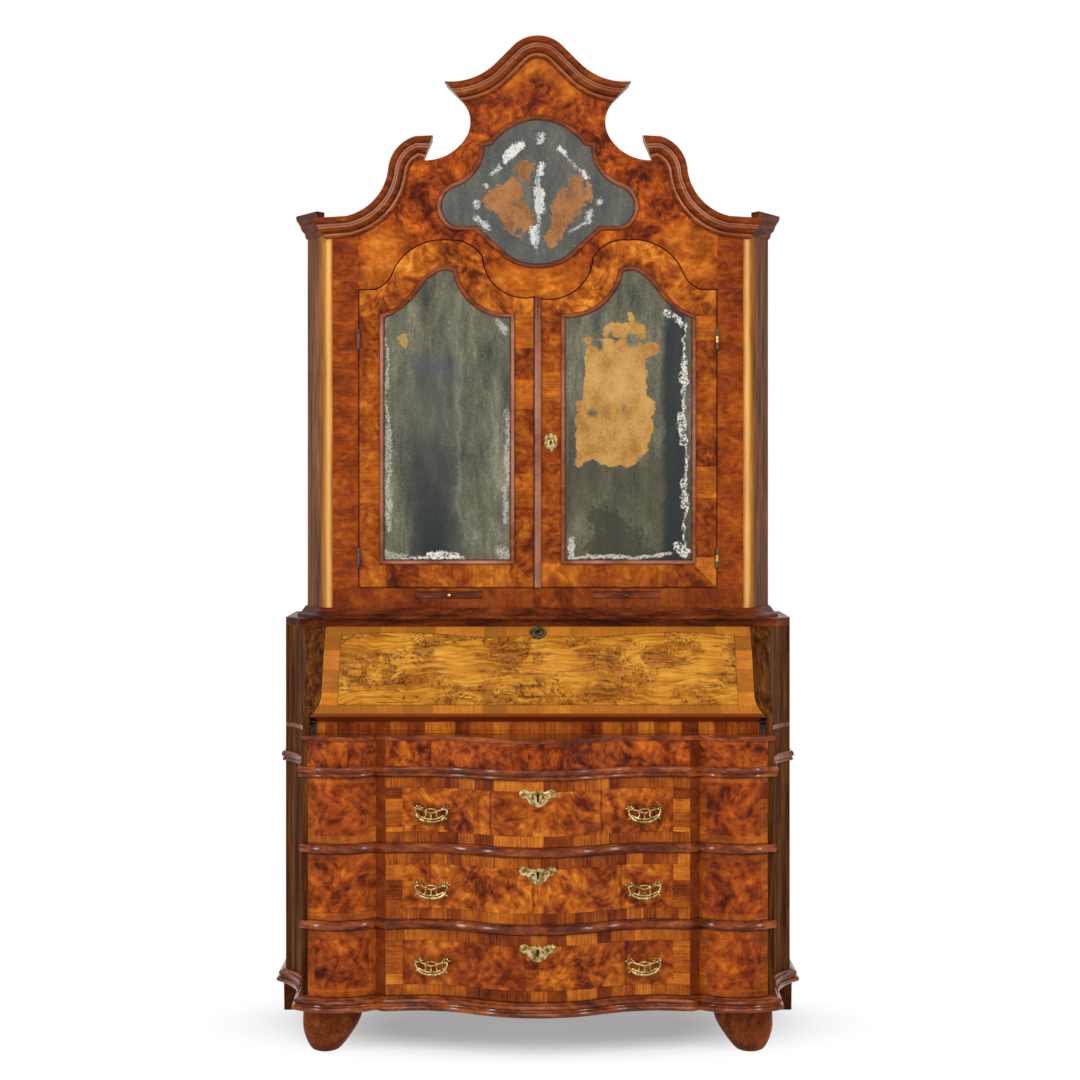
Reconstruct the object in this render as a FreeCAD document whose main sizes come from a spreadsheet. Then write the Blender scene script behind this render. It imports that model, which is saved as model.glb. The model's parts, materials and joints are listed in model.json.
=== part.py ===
"""Walnut bureau cabinet: serpentine chest of three drawers, slant-front desk and mirrored upper cabinet.

Millimetres, +Z up, +X to the right of someone facing the cabinet, front towards -Y.
The origin lies on the floor under the middle of the overall box.
"""
import FreeCAD
import Part
import math
import os
from FreeCAD import Rotation, Vector

# Driving sizes, by piece.
SIZES = {
    # Plan of the chest, measured in from its sides and back from its front line.
    "side_half": 625,
    "case_depth": 514,
    "centre_swell": 74,
    "corner_width": 69,
    "corner_depth": 280,
    "corner_hollow": 13,
    "return_spread": 4,
    "return_depth": 140,
    "lobe_width": 175,
    "lobe_peak": 86,
    "lobe_swell": 27,
    "break_depth": 10,
    "facet_width": 24,
    "facet_swell": 8,
    "hollow_width": 72,
    "side_thickness": 16,
    "back_thickness": 12,
    # Feet and base.
    "foot_height": 110,
    "foot_inset": 69,
    "foot_depth": 62,
    "foot_radius": 70,
    "foot_lean": 17,
    "rear_foot_width": 92,
    "rear_foot_depth": 96,
    "rear_foot_taper": 12,
    "base_height": 32,
    "base_projection": 22,
    # Drawers and the rails between them.
    "drawer_height": 157,
    "drawer_gap": 1,
    "drawer_front_thickness": 24,
    "drawer_board": 11,
    "drawer_rear_gap": 8,
    "drawer_bottom_thickness": 7,
    "drawer_bottom_rise": 9,
    "rail_height": 22,
    "rail_depth": 62,
    "rail_bead": 8,
    "runner_height": 12,
    "runner_width": 58,
    "guide_height": 34,
    "guide_thickness": 8,
    "guide_gap": 1,
    "string_height": 24,
    "string_projection": 10,
    "frieze_height": 85,
    "frieze_thickness": 26,
    # Desk.
    "ledge_thickness": 10,
    "ledge_overhang": 3,
    "hinge_depth": 60,
    "hinge_rail_height": 26,
    "hinge_rail_thickness": 20,
    "hinge_iron_width": 16,
    "hinge_eye_radius": 6,
    "hinge_pin_radius": 3,
    "hinge_iron_thickness": 2,
    "pin_clearance": 0.06,
    "part_gap": 0.3,
    "fall_rise": 215,
    "fall_run": 165,
    "fall_inset": 15,
    "fall_flare_width": 23,
    "fall_flare": 78,
    "fall_corner": 14,
    "fall_lip": 23,
    "fall_hollow": 15,
    "fall_middle": 19,
    "fall_crown": 26,
    "fall_head": 17,
    "fall_gap": 1.5,
    "desk_top_thickness": 19,
    "gallery_depth": 160,
    "gallery_board": 9,
    "gallery_shelf_rise": 78,
    "gallery_centre": 216,
    # Upper cabinet.
    "facade_step": 10,
    "facade_thickness": 22,
    "cabinet_step": 49,
    "cant_width": 51,
    "cant_depth": 90,
    "post_round": 18,
    "post_width": 20,
    "stile_width": 63,
    "cabinet_board": 18,
    "waist_height": 26,
    "waist_projection": 24,
    "candle_rail_height": 48,
    "candle_shift": 2,
    "candle_width": 163,
    "candle_height": 18,
    "candle_rise": 22,
    "candle_rear_gap": 67,
    "candle_gap": 0.6,
    "candle_case_wall": 11,
    "candle_knob_radius": 5,
    "candle_knob_length": 9,
    "shelf_thickness": 16,
    "shelf_setback": 75,
    # Doors and their mirrors.
    "door_gap": 2,
    "door_head_gap": 3,
    "door_height": 731,
    "door_rise": 122,
    "mirror_inner_half": 69,
    "mirror_margin": 63,
    "mirror_sill_margin": 69,
    "mirror_spring_margin": 69,
    "mirror_rise": 117,
    "mirror_thickness": 4,
    "mirror_gap": 0.4,
    "bead_width": 12,
    "bead_cover": 8,
    "bead_projection": 6,
    "astragal_width": 17,
    "astragal_projection": 8,
    "astragal_stop": 19,
    "door_hinge_radius": 4,
    "door_hinge_standoff": 4.5,
    "door_hinge_length": 48,
    "door_hinge_pin": 1.6,
    "door_hinge_foot": 72,
    "door_hinge_head": 121,
    "door_leaf": 0.9,
    "door_leaf_width": 18,
    # Crest and cornices.
    "crest_mirror_half": 236,
    "crest_mirror_rise": 66,
    "crest_mirror_height": 352,
    "crest_head": 201,
    "crest_tip_inset": 8,
    "crest_tip_drop": 112,
    "scroll_tip_outset": 21,
    "scroll_tip_rise": 309,
    "scroll_end_outset": 8,
    "scroll_end_rise": 173,
    "cornice_width": 48,
    "cornice_projection": 40,
    "crest_margin": 4,
    "side_cornice_rise": 18,
    "side_cornice_height": 56,
    "side_cornice_projection": 28,
    # Brass mounts.
    "handle_inset": 37,
    "handle_rise": 4,
    "handle_post_spacing": 65,
    "handle_standoff": 15,
    "handle_post_radius": 4.6,
    "handle_rose_radius": 9,
    "handle_rose_thickness": 2.5,
    "handle_eye_length": 9,
    "bail_radius": 2.5,
    "bail_shoulder": 7,
    "bail_bend": 8,
    "bail_drop": 27,
    "bail_swell": 4.2,
    "escutcheon_width": 100,
    "escutcheon_height": 40,
    "escutcheon_drop": 41,
    "plate_thickness": 2,
    "keyhole_radius": 2.4,
    "lock_width": 70,
    "lock_height": 45,
    "lock_thickness": 12,
    "fall_plate_radius": 20,
    "fall_plate_drop": 35,
    "door_plate_half": 32,
    "door_plate_rise": 356,
    "door_plate_width": 30,
    "door_plate_length": 48,
    "overrun": 5,
}

# Places and levels that follow from the driving sizes.
LEVELS = {
    "overall_depth": "case_depth + centre_swell + base_projection",
    "front_line": "centre_swell + base_projection - overall_depth / 2",
    "back_line": "front_line + case_depth",
    "cabinet_back_line": "back_line - back_thickness",
    "front_half": "side_half - corner_width",
    "return_half": "front_half + return_spread",
    "lobe_half": "front_half - lobe_peak",
    "break_half": "front_half - lobe_width",
    "facet_half": "break_half - facet_width",
    "valley_half": "facet_half - hollow_width",
    "inner_half": "front_half - side_thickness",
    "foot_half": "front_half - foot_inset",
    "handle_half": "valley_half - handle_inset",
    "case_bottom": "foot_height + base_height",
    "drawer_depth": "cabinet_back_line - front_line - drawer_front_thickness - drawer_rear_gap",
    "frieze_bottom": "case_bottom + 3 * drawer_height + 2 * rail_height",
    "ledge_bottom": "frieze_bottom + frieze_height",
    "ledge_top": "ledge_bottom + ledge_thickness",
    "hinge_line": "front_line + hinge_depth",
    "writing_level": "ledge_top + hinge_rail_height",
    "fall_half": "front_half - fall_inset",
    "fall_waist_half": "fall_half - fall_flare_width",
    "rail_end_half": "fall_half - hinge_iron_width + fall_gap",
    "cheek_half": "fall_half + fall_gap",
    "desk_wall_half": "fall_waist_half + fall_gap - 3 * part_gap",
    "desk_top_bottom": "writing_level + fall_rise",
    "desk_top_front": "hinge_line + fall_run + fall_gap",
    "waist_bottom": "desk_top_bottom + desk_top_thickness",
    "waist_top": "waist_bottom + waist_height",
    "candle_bottom": "waist_top + candle_rise",
    "door_bottom": "waist_top + candle_rail_height + door_gap",
    "facade_line": "hinge_line + fall_run + facade_step",
    "facade_back": "facade_line + facade_thickness",
    "candle_depth": "cabinet_back_line - facade_line - candle_rear_gap",
    "side_line": "facade_line + cant_depth",
    "cabinet_half": "side_half - cabinet_step",
    "cabinet_inner_half": "cabinet_half - cabinet_board",
    "facade_half": "cabinet_half - cant_width",
    "post_inner_half": "facade_half - post_width",
    "stile_inner_half": "post_inner_half - stile_width",
    "door_half": "stile_inner_half - door_gap",
    "candle_half": "door_half / 2 - candle_shift",
    "cabinet_floor": "door_bottom + door_gap + cabinet_board / 2",
    "meeting_half": "astragal_width / 2",
    "door_spring": "door_bottom + door_height",
    "mirror_width": "door_half - mirror_inner_half - mirror_margin",
    "mirror_sill": "door_bottom + mirror_sill_margin",
    "mirror_spring": "door_spring - mirror_spring_margin",
    "astragal_top": "door_spring - astragal_stop",
    "door_hinge_low": "door_bottom + door_hinge_foot",
    "door_hinge_high": "door_spring - door_hinge_head",
    "door_plate_height": "door_bottom + door_plate_rise",
    "crest_mirror_bottom": "door_spring + crest_mirror_rise",
    "crest_top": "crest_mirror_bottom + crest_mirror_height + crest_head",
    "crest_tip_half": "crest_mirror_half - crest_tip_inset",
    "scroll_tip_half": "crest_mirror_half + scroll_tip_outset",
    "scroll_tip": "crest_mirror_bottom + scroll_tip_rise",
    "scroll_end_half": "facade_half + scroll_end_outset",
    "scroll_end": "door_spring + scroll_end_rise",
    "side_cornice_top": "scroll_end + side_cornice_rise",
    "side_cornice_bottom": "side_cornice_top - side_cornice_height",
    "stile_top": "scroll_end - crest_margin",
    "shelf_front": "facade_back + shelf_setback + part_gap",
}

# Half outlines as shares of a width and a height; a third and fourth share give an arc's middle point.
MIRROR_HEAD_SHARES = [
    (0.458, 0.966, 0.286, 0.240),
    (0.578, 0.954, 0.510, 1.000),
    (0.718, 0.610, 0.660, 0.800),
    (1.000, 0.000, 0.847, 0.230),
]
DOOR_HEAD_SHARES = [
    (0.312, 0.660, 0.268, 0.195),
    (0.500, 1.000, 0.380, 0.905),
    (0.800, 0.435, 0.690, 0.850),
    (0.910, 0.000, 0.846, 0.145),
]
DOOR_HEAD_FOOT_SHARE = -0.15
CARTOUCHE_SHARES = [
    (0.305, 0.060, 0.160, 0.014),
    (0.644, 0.264, 0.485, 0.170),
    (0.864, 0.264),
    (0.864, 0.531, 1.000, 0.410),
    (0.555, 0.781, 0.670, 0.615),
    (0.555, 0.815),
    (0.475, 0.827),
    (0.000, 1.000, 0.270, 0.950),
]
CREST_SHARES = [
    (0.450, 0.398, 0.703, 0.073),
    (0.263, 0.778),
    (0.000, 1.000, 0.143, 0.942),
]
SCROLL_SHARES = [
    (0.155, 0.990),
    (0.392, 0.610, 0.320, 0.840),
    (0.765, 0.025, 0.505, 0.240),
]
CREST_END_SHARES = (0.95, 0.95)
SCROLL_END_SHARES = (-0.50, 1.15)
NECK_SHARES = [(1.045, 0.381, 0.720, 0.148), (1.000, 1.000, 1.166, 0.657)]
KEY_PLATE_SHARES = [
    (0.22, -0.36, 0.13, -0.47),
    (0.42, -0.16, 0.34, -0.22),
    (0.80, -0.30, 0.60, -0.30),
    (1.00, 0.06, 0.98, -0.16),
    (0.74, 0.40, 0.92, 0.32),
    (0.40, 0.24, 0.56, 0.36),
    (0.24, 0.44, 0.30, 0.40),
    (0.00, 0.50, 0.13, 0.50),
]

# Moulding sections: shares of the projection beyond the wall, and of the height.
BASE_SECTION_SHARES = [
    (0.74, 0.0), (0.92, 0.05), (1.0, 0.15), (1.0, 0.25), (0.92, 0.35), (0.74, 0.40), (0.66, 0.42),
    (0.60, 0.50), (0.66, 0.54), (0.76, 0.62), (0.76, 0.72), (0.66, 0.82),
    (0.46, 0.86), (0.32, 0.92), (0.30, 1.0)
]
STRING_SECTION_SHARES = [
    (0.45, 0.0), (0.68, 0.05), (0.80, 0.16), (0.70, 0.28), (0.52, 0.33), (0.52, 0.40),
    (0.84, 0.48), (0.98, 0.60), (0.98, 0.76), (0.84, 0.90), (0.55, 1.0)
]
RAIL_SECTION_SHARES = [
    (0.25, 0.08), (0.60, 0.16), (0.88, 0.30), (1.0, 0.5), (0.88, 0.70), (0.60, 0.84), (0.25, 0.92)
]
WAIST_SECTION_SHARES = [(1.0, 0.0), (1.0, 0.28), (0.62, 0.46), (0.36, 0.8), (0.2, 1.0)]
CORNICE_SECTION_SHARES = [
    (0.0, 1.0), (0.10, 0.99), (0.18, 0.94), (0.20, 0.86), (0.22, 0.78), (0.32, 0.74), (0.46, 0.68),
    (0.57, 0.59), (0.62, 0.48), (0.63, 0.42), (0.74, 0.40), (0.76, 0.33),
    (0.87, 0.29), (0.96, 0.20), (1.0, 0.08)
]
SIDE_CORNICE_SHARES = [
    (0.08, 0.0), (0.18, 0.05), (0.22, 0.14), (0.24, 0.24), (0.34, 0.28), (0.46, 0.34), (0.57, 0.43),
    (0.62, 0.54), (0.63, 0.60), (0.74, 0.62), (0.76, 0.69), (0.87, 0.73),
    (0.96, 0.82), (1.0, 0.94), (1.0, 1.0)
]

# Bead round a mirror: shares of its projection, and of its width out from the glass, outside and inside.
BEAD_SECTION_SHARES = [(0.0, 1.0, 0.0), (0.55, 1.0, 0.12), (1.0, 0.82, 0.45)]

# Rounds of a front foot: shares of its height, of its radius and of its outward lean.
FOOT_SHARES = [
    (0.00, 0.36, 1.00), (0.03, 0.46, 0.98), (0.09, 0.55, 0.94), (0.18, 0.65, 0.86), (0.29, 0.75, 0.75),
    (0.42, 0.85, 0.57), (0.55, 0.925, 0.36), (0.68, 0.975, 0.16), (0.80, 1.00, 0.03), (1.00, 1.00, 0.00)
]
SHELF_RISE_SHARES = (0.36, 0.70)
POST_BOW_SHARE = 0.54
FALL_FACE_SHARES = (0, 0.24, 0.46, 0.74, 1)
FALL_CURL_SHARES = (0.22, 0.42)
FALL_KNEE_SHARES = (0.29, 0.71)
POST_SHARES = {"inner": -0.5, "outer": 0.5}
HINGE_SHARES = (-0.5, 0.5)
OUTER_KNUCKLE_SHARES = ((-0.5, -0.17), (0.17, 0.5))
MIDDLE_KNUCKLE_SHARES = (-0.16, 0.16)
GALLERY_PIGEONHOLES = 3
DRAWERS = ("bottom", "middle", "top")
SIDES = {"left": -1, "right": 1}

doc = FreeCAD.newDocument("bureau_cabinet")
sheet = doc.addObject("Spreadsheet::Sheet", "sizes")
for row, (alias, value) in enumerate(list(SIZES.items()) + list(LEVELS.items()), start=1):
    sheet.set(f"A{row}", alias)
    sheet.setAlias(f"B{row}", alias)
    sheet.set(f"B{row}", f"={value}" if alias in LEVELS else str(value))
doc.recompute()

ALIASES = list(SIZES) + list(LEVELS)
nodes = []


class Sheet:
    """The sheet's numbers, read by alias."""

    def __getattr__(self, alias):
        return float(sheet.get(alias))


S = Sheet()


def bind(thing, target, formula):
    """Bind a property to a formula written in the sheet's aliases."""
    spaced = [letter if letter.isalnum() or letter in "_." else f" {letter} " for letter in formula]
    words = "".join(spaced).split()
    thing.setExpression(target, " ".join(f"sizes.{word}" if word in ALIASES else word for word in words))


def node(label, thing):
    """Make a document object one of the part's named sub-parts."""
    thing.Label = label
    nodes.append(thing)
    return thing


def feature(name, shape):
    """A document object around a shape worked out from the sheet."""
    thing = doc.addObject("Part::Feature", name)
    thing.Shape = shape
    return thing


def board(name, x_span, y_span, z_span):
    """A rectangular board between pairs of formulas."""
    box = doc.addObject("Part::Box", name)
    for target, axis, (low, high) in zip(("Length", "Width", "Height"), "xyz", (x_span, y_span, z_span)):
        bind(box, target, f"( {high} ) - ( {low} )")
        bind(box, f"Placement.Base.{axis}", low)
    return box


def rod(name, radius, length, base, rotation):
    """A round bar with a bound radius and length, laid along the turned Z axis."""
    bar = doc.addObject("Part::Cylinder", name)
    bind(bar, "Radius", radius)
    bind(bar, "Height", length)
    bar.Placement = FreeCAD.Placement(base, rotation)
    return bar


def mirrored(name, source):
    """The left-hand copy of a right-hand piece."""
    copy = doc.addObject("Part::Mirroring", name)
    copy.Source = source
    copy.Normal = Vector(1, 0, 0)
    return copy


def group(label, pieces):
    """Separate solids that share one node."""
    compound = doc.addObject("Part::Compound", f"{label}_group")
    compound.Links = pieces
    return node(label, compound)


def cut(name, base, tool):
    """Take one piece away from another."""
    result = doc.addObject("Part::Cut", name)
    result.Base = base
    result.Tool = tool
    return result


def common(name, base, tool):
    """Keep what two pieces share."""
    result = doc.addObject("Part::Common", name)
    result.Base = base
    result.Tool = tool
    return result


def fuse(name, pieces):
    """Join solids that are one piece on the object."""
    result = doc.addObject("Part::MultiFuse", name)
    result.Shapes = pieces
    return result


def pair(label, right):
    """A right-hand piece and its mirror image as one node."""
    return group(label, [right, mirrored(f"{label}_mirror", right)])


# Outlines of lines and arcs.
class Outline:
    """A chain of corners in a plane; vias holds an arc's middle point, or None for a straight run."""

    def __init__(self, start):
        self.corners = [start]
        self.vias = []

    def to(self, corner, via=None):
        self.corners.append(corner)
        self.vias.append(via)
        return self

    def extend(self, other):
        for corner, via in zip(other.corners[1:], other.vias):
            self.to(corner, via)
        return self

    def reversed(self):
        back = Outline(self.corners[-1])
        for corner, via in zip(self.corners[-2::-1], self.vias[::-1]):
            back.to(corner, via)
        return back

    def flipped(self):
        """Mirror image across the middle, run the other way."""
        image = Outline(flip(self.corners[0]))
        for corner, via in zip(self.corners[1:], self.vias):
            image.to(flip(corner), via and flip(via))
        return image.reversed()

    def closed(self):
        return (self.corners[0] - self.corners[-1]).Length < S.pin_clearance

    def headings(self, run):
        """Unit directions at the start, middle and end of one run."""
        start, end, via = self.corners[run], self.corners[run + 1], self.vias[run]
        if via is None:
            straight = (end - start).normalize()
            return straight, straight, straight
        centre = Part.Circle(start, via, end).Center
        turn = 1 if (via - start).cross(end - via).z > 0 else -1
        spokes = [(spot - centre).normalize() for spot in (start, via, end)]
        return tuple(Vector(-turn * spoke.y, turn * spoke.x, 0) for spoke in spokes)

    def offset(self, distance, ends=(None, None)):
        """Move the outline to the right of its run; ends may give slanted directions for its two ends."""
        headings = [self.headings(run) for run in range(len(self.vias))]
        spots = []
        last = len(self.vias)
        for place, corner in enumerate(self.corners):
            before = headings[place - 1][2] if place else None
            after = headings[place][0] if place < last else None
            if self.closed():
                before = before or headings[-1][2]
                after = after or headings[0][0]
            slant = ends[0] if place == 0 else ends[1] if place == last else None
            spots.append(corner + (slant or mitre(before or after, after or before)) * distance)
        moved = Outline(spots[0])
        for run, spot in enumerate(spots[1:]):
            via = self.vias[run]
            moved.to(spot, via and via + right_of(headings[run][1]) * distance)
        return moved

    def curves(self):
        for run, via in enumerate(self.vias):
            start, end = self.corners[run], self.corners[run + 1]
            yield Part.LineSegment(start, end) if via is None else Part.Arc(start, via, end)

    def wire(self, placement):
        wire = Part.Wire([curve.toShape() for curve in self.curves()])
        wire.Placement = placement
        return wire


def flip(spot):
    return Vector(-spot.x, spot.y, 0)


def right_of(heading):
    return Vector(heading.y, -heading.x, 0)


def mitre(before, after):
    """Direction and stretch of a corner's offset between two runs."""
    first, second = right_of(before), right_of(after)
    return (first + second) * (1 / (1 + first.dot(second)))


def rectangle(left, right, low, high):
    corners = [Vector(left, low, 0), Vector(right, low, 0), Vector(right, high, 0), Vector(left, high, 0)]
    shape = Outline(corners[0])
    for corner in corners[1:] + corners[:1]:
        shape.to(corner)
    return shape


def from_shares(start, shares, scale, base):
    """An outline from shares of a width and a height."""
    shape = Outline(start)
    for share in shares:
        pairs = zip(share[::2], share[1::2])
        shape.to(*[Vector(base.x + across * scale.x, base.y + up * scale.y, 0) for across, up in pairs])
    return shape


def plan(level):
    """Placement that lays an outline flat at a height."""
    return FreeCAD.Placement(Vector(0, 0, level), Rotation())


def upright(depth):
    """Placement that stands an outline up, facing the front, at a depth."""
    return FreeCAD.Placement(Vector(0, depth, 0), Rotation(Vector(1, 0, 0), 90))


def padded(name, outlines, plane, target, start, length, reverse=False):
    """A body padded from a sketch on one of its own origin planes, placed and sized by formulas."""
    body = doc.addObject("PartDesign::Body", name)
    sketch = body.newObject("Sketcher::SketchObject", f"{name}_sketch")
    support = next(item for item in body.Origin.OriginFeatures if item.Role == plane)
    sketch.AttachmentSupport = [(support, "")]
    sketch.MapMode = "FlatFace"
    for outline in outlines:
        sketch.addGeometry(list(outline.curves()))
    pad = body.newObject("PartDesign::Pad", f"{name}_pad")
    pad.Profile = sketch
    pad.Reversed = reverse
    bind(pad, "Length", length)
    bind(body, f"Placement.Base.{target}", start)
    return body


def plan_pad(name, outlines, start, length):
    """A plan outline raised from a level."""
    return padded(name, outlines, "XY_Plane", "z", start, length)


def front_pad(name, outlines, start, length):
    """A front outline carried back from a depth."""
    return padded(name, outlines, "XZ_Plane", "y", start, length, reverse=True)


def moulding(path, inner, levels, placements, ends=(None, None)):
    """A moulding lofted along a path through bands that stand out to its right, level by level."""
    back = inner.reversed()
    wires = []
    for projection, placement in zip(levels, placements):
        band = path.offset(projection, ends)
        band.to(back.corners[0]).extend(back).to(band.corners[0])
        wires.append(band.wire(placement))
    return Part.makeLoft(wires, True, True)


# Plan of the chest.
def chest_front():
    """Serpentine front from the left corner to the right, seen from above."""
    line = S.front_line
    hollow = S.centre_swell / 2
    radius = ((S.valley_half / 2) ** 2 + hollow ** 2) / S.centre_swell
    lean = math.asin(S.valley_half / 2 / radius) / 2
    inflection = Vector(S.valley_half / 2, line - hollow, 0)
    valley_via = Vector(S.valley_half - radius * math.sin(lean), line - radius * (1 - math.cos(lean)), 0)
    half = Outline(inflection)
    half.to(Vector(S.valley_half, line, 0), valley_via)
    half.to(Vector(S.facet_half, line - S.facet_swell, 0))
    half.to(Vector(S.break_half, line + S.break_depth, 0))
    half.to(Vector(S.front_half, line, 0), Vector(S.lobe_half, line - S.lobe_swell, 0))
    front = half.flipped()
    front.to(inflection, Vector(0, line - S.centre_swell, 0))
    return front.extend(half)


def chest_side():
    """Right side from the front corner to the back: return, hollow canted corner and straight side."""
    line = S.front_line
    turn = Vector(S.return_half, line + S.return_depth, 0)
    corner = Vector(S.side_half, line + S.corner_depth, 0)
    middle = (turn + corner) * (1 / 2)
    hollow = right_of((corner - turn).normalize()) * S.corner_hollow
    side = Outline(Vector(S.front_half, line, 0))
    side.to(turn)
    side.to(corner, middle - hollow)
    side.to(Vector(S.side_half, S.back_line, 0))
    return side


def chest_plan():
    """Open outline of the chest from the left back corner round the front to the right back corner."""
    return chest_side().flipped().extend(chest_front()).extend(chest_side())


def shut(outline):
    """Close an outline with a straight run."""
    return outline.to(outline.corners[0])


def cabinet_side():
    """Right side of the upper cabinet: rounded front edge, canted corner and straight side."""
    cant = Vector(S.cabinet_half, S.side_line, 0)
    edge = Vector(S.facade_half, S.facade_line, 0)
    along = (cant - edge).normalize()
    start = edge - Vector(S.post_round, 0, 0)
    finish = edge + along * S.post_round
    bow = edge + ((start + finish) * (1 / 2) - edge) * POST_BOW_SHARE
    side = Outline(start)
    side.to(finish, bow)
    side.to(cant)
    side.to(Vector(S.cabinet_half, S.back_line, 0))
    return side


def cabinet_plan():
    """Open outline of the upper cabinet from the left back corner to the right."""
    right = cabinet_side()
    return right.flipped().to(right.corners[0]).extend(right)


# Chest and desk.
def make_feet():
    """Bun feet in front, leaning outwards to their soles, and tapered block feet behind."""
    rounds = []
    for height, swell, lean in FOOT_SHARES:
        middle = Vector(S.foot_half + lean * S.foot_lean, S.front_line + S.foot_depth, 0)
        middle.z = height * S.foot_height
        rounds.append(Part.Wire(Part.makeCircle(swell * S.foot_radius, middle)))
    front = feature("front_foot", Part.makeLoft(rounds, True, True))
    outer = S.side_half + S.base_projection
    block = rectangle(outer - S.rear_foot_width, outer, S.back_line - S.rear_foot_depth, S.back_line)
    inward = outer - S.rear_foot_width + S.rear_foot_taper
    sole = rectangle(inward, outer, S.back_line - S.rear_foot_depth + S.rear_foot_taper, S.back_line)
    ends = [sole.wire(plan(0)), block.wire(plan(S.foot_height))]
    rear = feature("rear_foot", Part.makeLoft(ends, True, True))
    group("feet", [front, mirrored("front_foot_mirror", front), rear, mirrored("rear_foot_mirror", rear)])


def make_chest():
    """Bottom, sides, rails and runners of the chest, with its applied mouldings."""
    outline = chest_plan()
    node("bottom_board", plan_pad("bottom_board", [shut(chest_plan())], "foot_height", "base_height"))
    heights = [S.foot_height + share * S.base_height for _, share in BASE_SECTION_SHARES]
    out = [share * S.base_projection for share, _ in BASE_SECTION_SHARES]
    node("base_moulding", feature("base_moulding", moulding(outline, outline, out, map(plan, heights))))

    side = chest_side()
    wall = Outline(side.corners[0]).extend(side)
    inner = side.offset(-S.side_thickness).reversed()
    wall.to(inner.corners[0]).extend(inner)
    right = plan_pad("desk_side_right", [shut(wall)], "case_bottom", "ledge_bottom - case_bottom")
    node("desk_side_right", right)
    node("desk_side_left", mirrored("desk_side_left", right))

    rails = []
    runners = []
    for step in range(len(DRAWERS)):
        floor = f"case_bottom + {step} * ( drawer_height + rail_height )"
        if step:
            rails.append(drawer_rail(step))
        runners.append(drawer_runner(step, floor))
    group("drawer_rails", rails)
    group("drawer_runners", runners + [mirrored(f"{runner.Name}_mirror", runner) for runner in runners])

    heights = [S.frieze_bottom + share * S.string_height for _, share in STRING_SECTION_SHARES]
    out = [share * S.string_projection for share, _ in STRING_SECTION_SHARES]
    node("string_moulding", feature("string_moulding", moulding(outline, outline, out, map(plan, heights))))

    front = within_sides(chest_front(), S.frieze_thickness)
    node("frieze_front", plan_pad("frieze_front", [front], "frieze_bottom", "frieze_height"))
    lip = chest_front().offset(S.ledge_overhang)
    side = chest_side()
    ledge = side.flipped().to(lip.corners[0]).extend(lip).to(side.corners[0]).extend(side)
    node("ledge_board", plan_pad("ledge_board", [shut(ledge)], "ledge_bottom", "ledge_thickness"))


def within_sides(front, thickness):
    """Plan of a front piece between the case sides, flat behind."""
    line = S.front_line
    strip = Outline(Vector(-S.inner_half, line + thickness, 0))
    strip.to(Vector(-S.inner_half, line, 0))
    trimmed = trim_lobes(front, S.inner_half)
    strip.extend(Outline(strip.corners[-1]).to(trimmed.corners[0])).extend(trimmed)
    strip.to(Vector(S.inner_half, line + thickness, 0))
    return shut(drop_short_runs(strip))


def trim_lobes(front, half):
    """Shorten the outer lobes of the front to a half width, on their own arcs."""
    last = len(front.vias) - 1
    start, via, end = front.corners[last], front.vias[last], front.corners[last + 1]
    circle = Part.Circle(start, via, end)
    side = half - circle.Center.x
    depth = circle.Center.y - math.sqrt(circle.Radius ** 2 - side ** 2)
    trimmed = Outline(front.corners[1])
    for run in range(1, last):
        trimmed.to(front.corners[run + 1], front.vias[run])
    end_spot = Vector(half, depth, 0)
    shape = Outline(flip(end_spot)).to(front.corners[1], flip(via))
    return shape.extend(trimmed).to(end_spot, via)


def drop_short_runs(outline):
    """Leave out runs of no length."""
    kept = Outline(outline.corners[0])
    for corner, via in zip(outline.corners[1:], outline.vias):
        if (corner - kept.corners[-1]).Length > S.pin_clearance:
            kept.to(corner, via)
    return kept


def drawer_rail(step):
    """Rail under a drawer, with a rounded bead along its serpentine edge."""
    bottom = S.case_bottom + step * S.drawer_height + (step - 1) * S.rail_height
    level = f"case_bottom + {step} * drawer_height + {step - 1} * rail_height"
    body = plan_pad(f"rail_{step}", [within_sides(chest_front(), S.rail_depth)], level, "rail_height")
    heights = [bottom + share * S.rail_height for _, share in RAIL_SECTION_SHARES]
    out = [share * S.rail_bead for share, _ in RAIL_SECTION_SHARES]
    bead = feature(f"rail_bead_{step}", moulding(chest_front(), chest_front(), out, map(plan, heights)))
    return fuse(f"rail_with_bead_{step}", [body, bead])


def drawer_runner(step, floor):
    """Guide at the right end of a drawer, with the runner it slides on above a rail."""
    depth = ("front_line + rail_depth", "cabinet_back_line")
    guide_width = ("inner_half - guide_thickness", "inner_half")
    guide = board(f"guide_{step}", guide_width, depth, (floor, f"{floor} + guide_height"))
    if not step:
        return guide
    runner_width = ("inner_half - runner_width", "inner_half")
    ledge = board(f"runner_{step}", runner_width, depth, (f"{floor} - runner_height", floor))
    return fuse(f"runner_with_guide_{step}", [ledge, guide])


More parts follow.
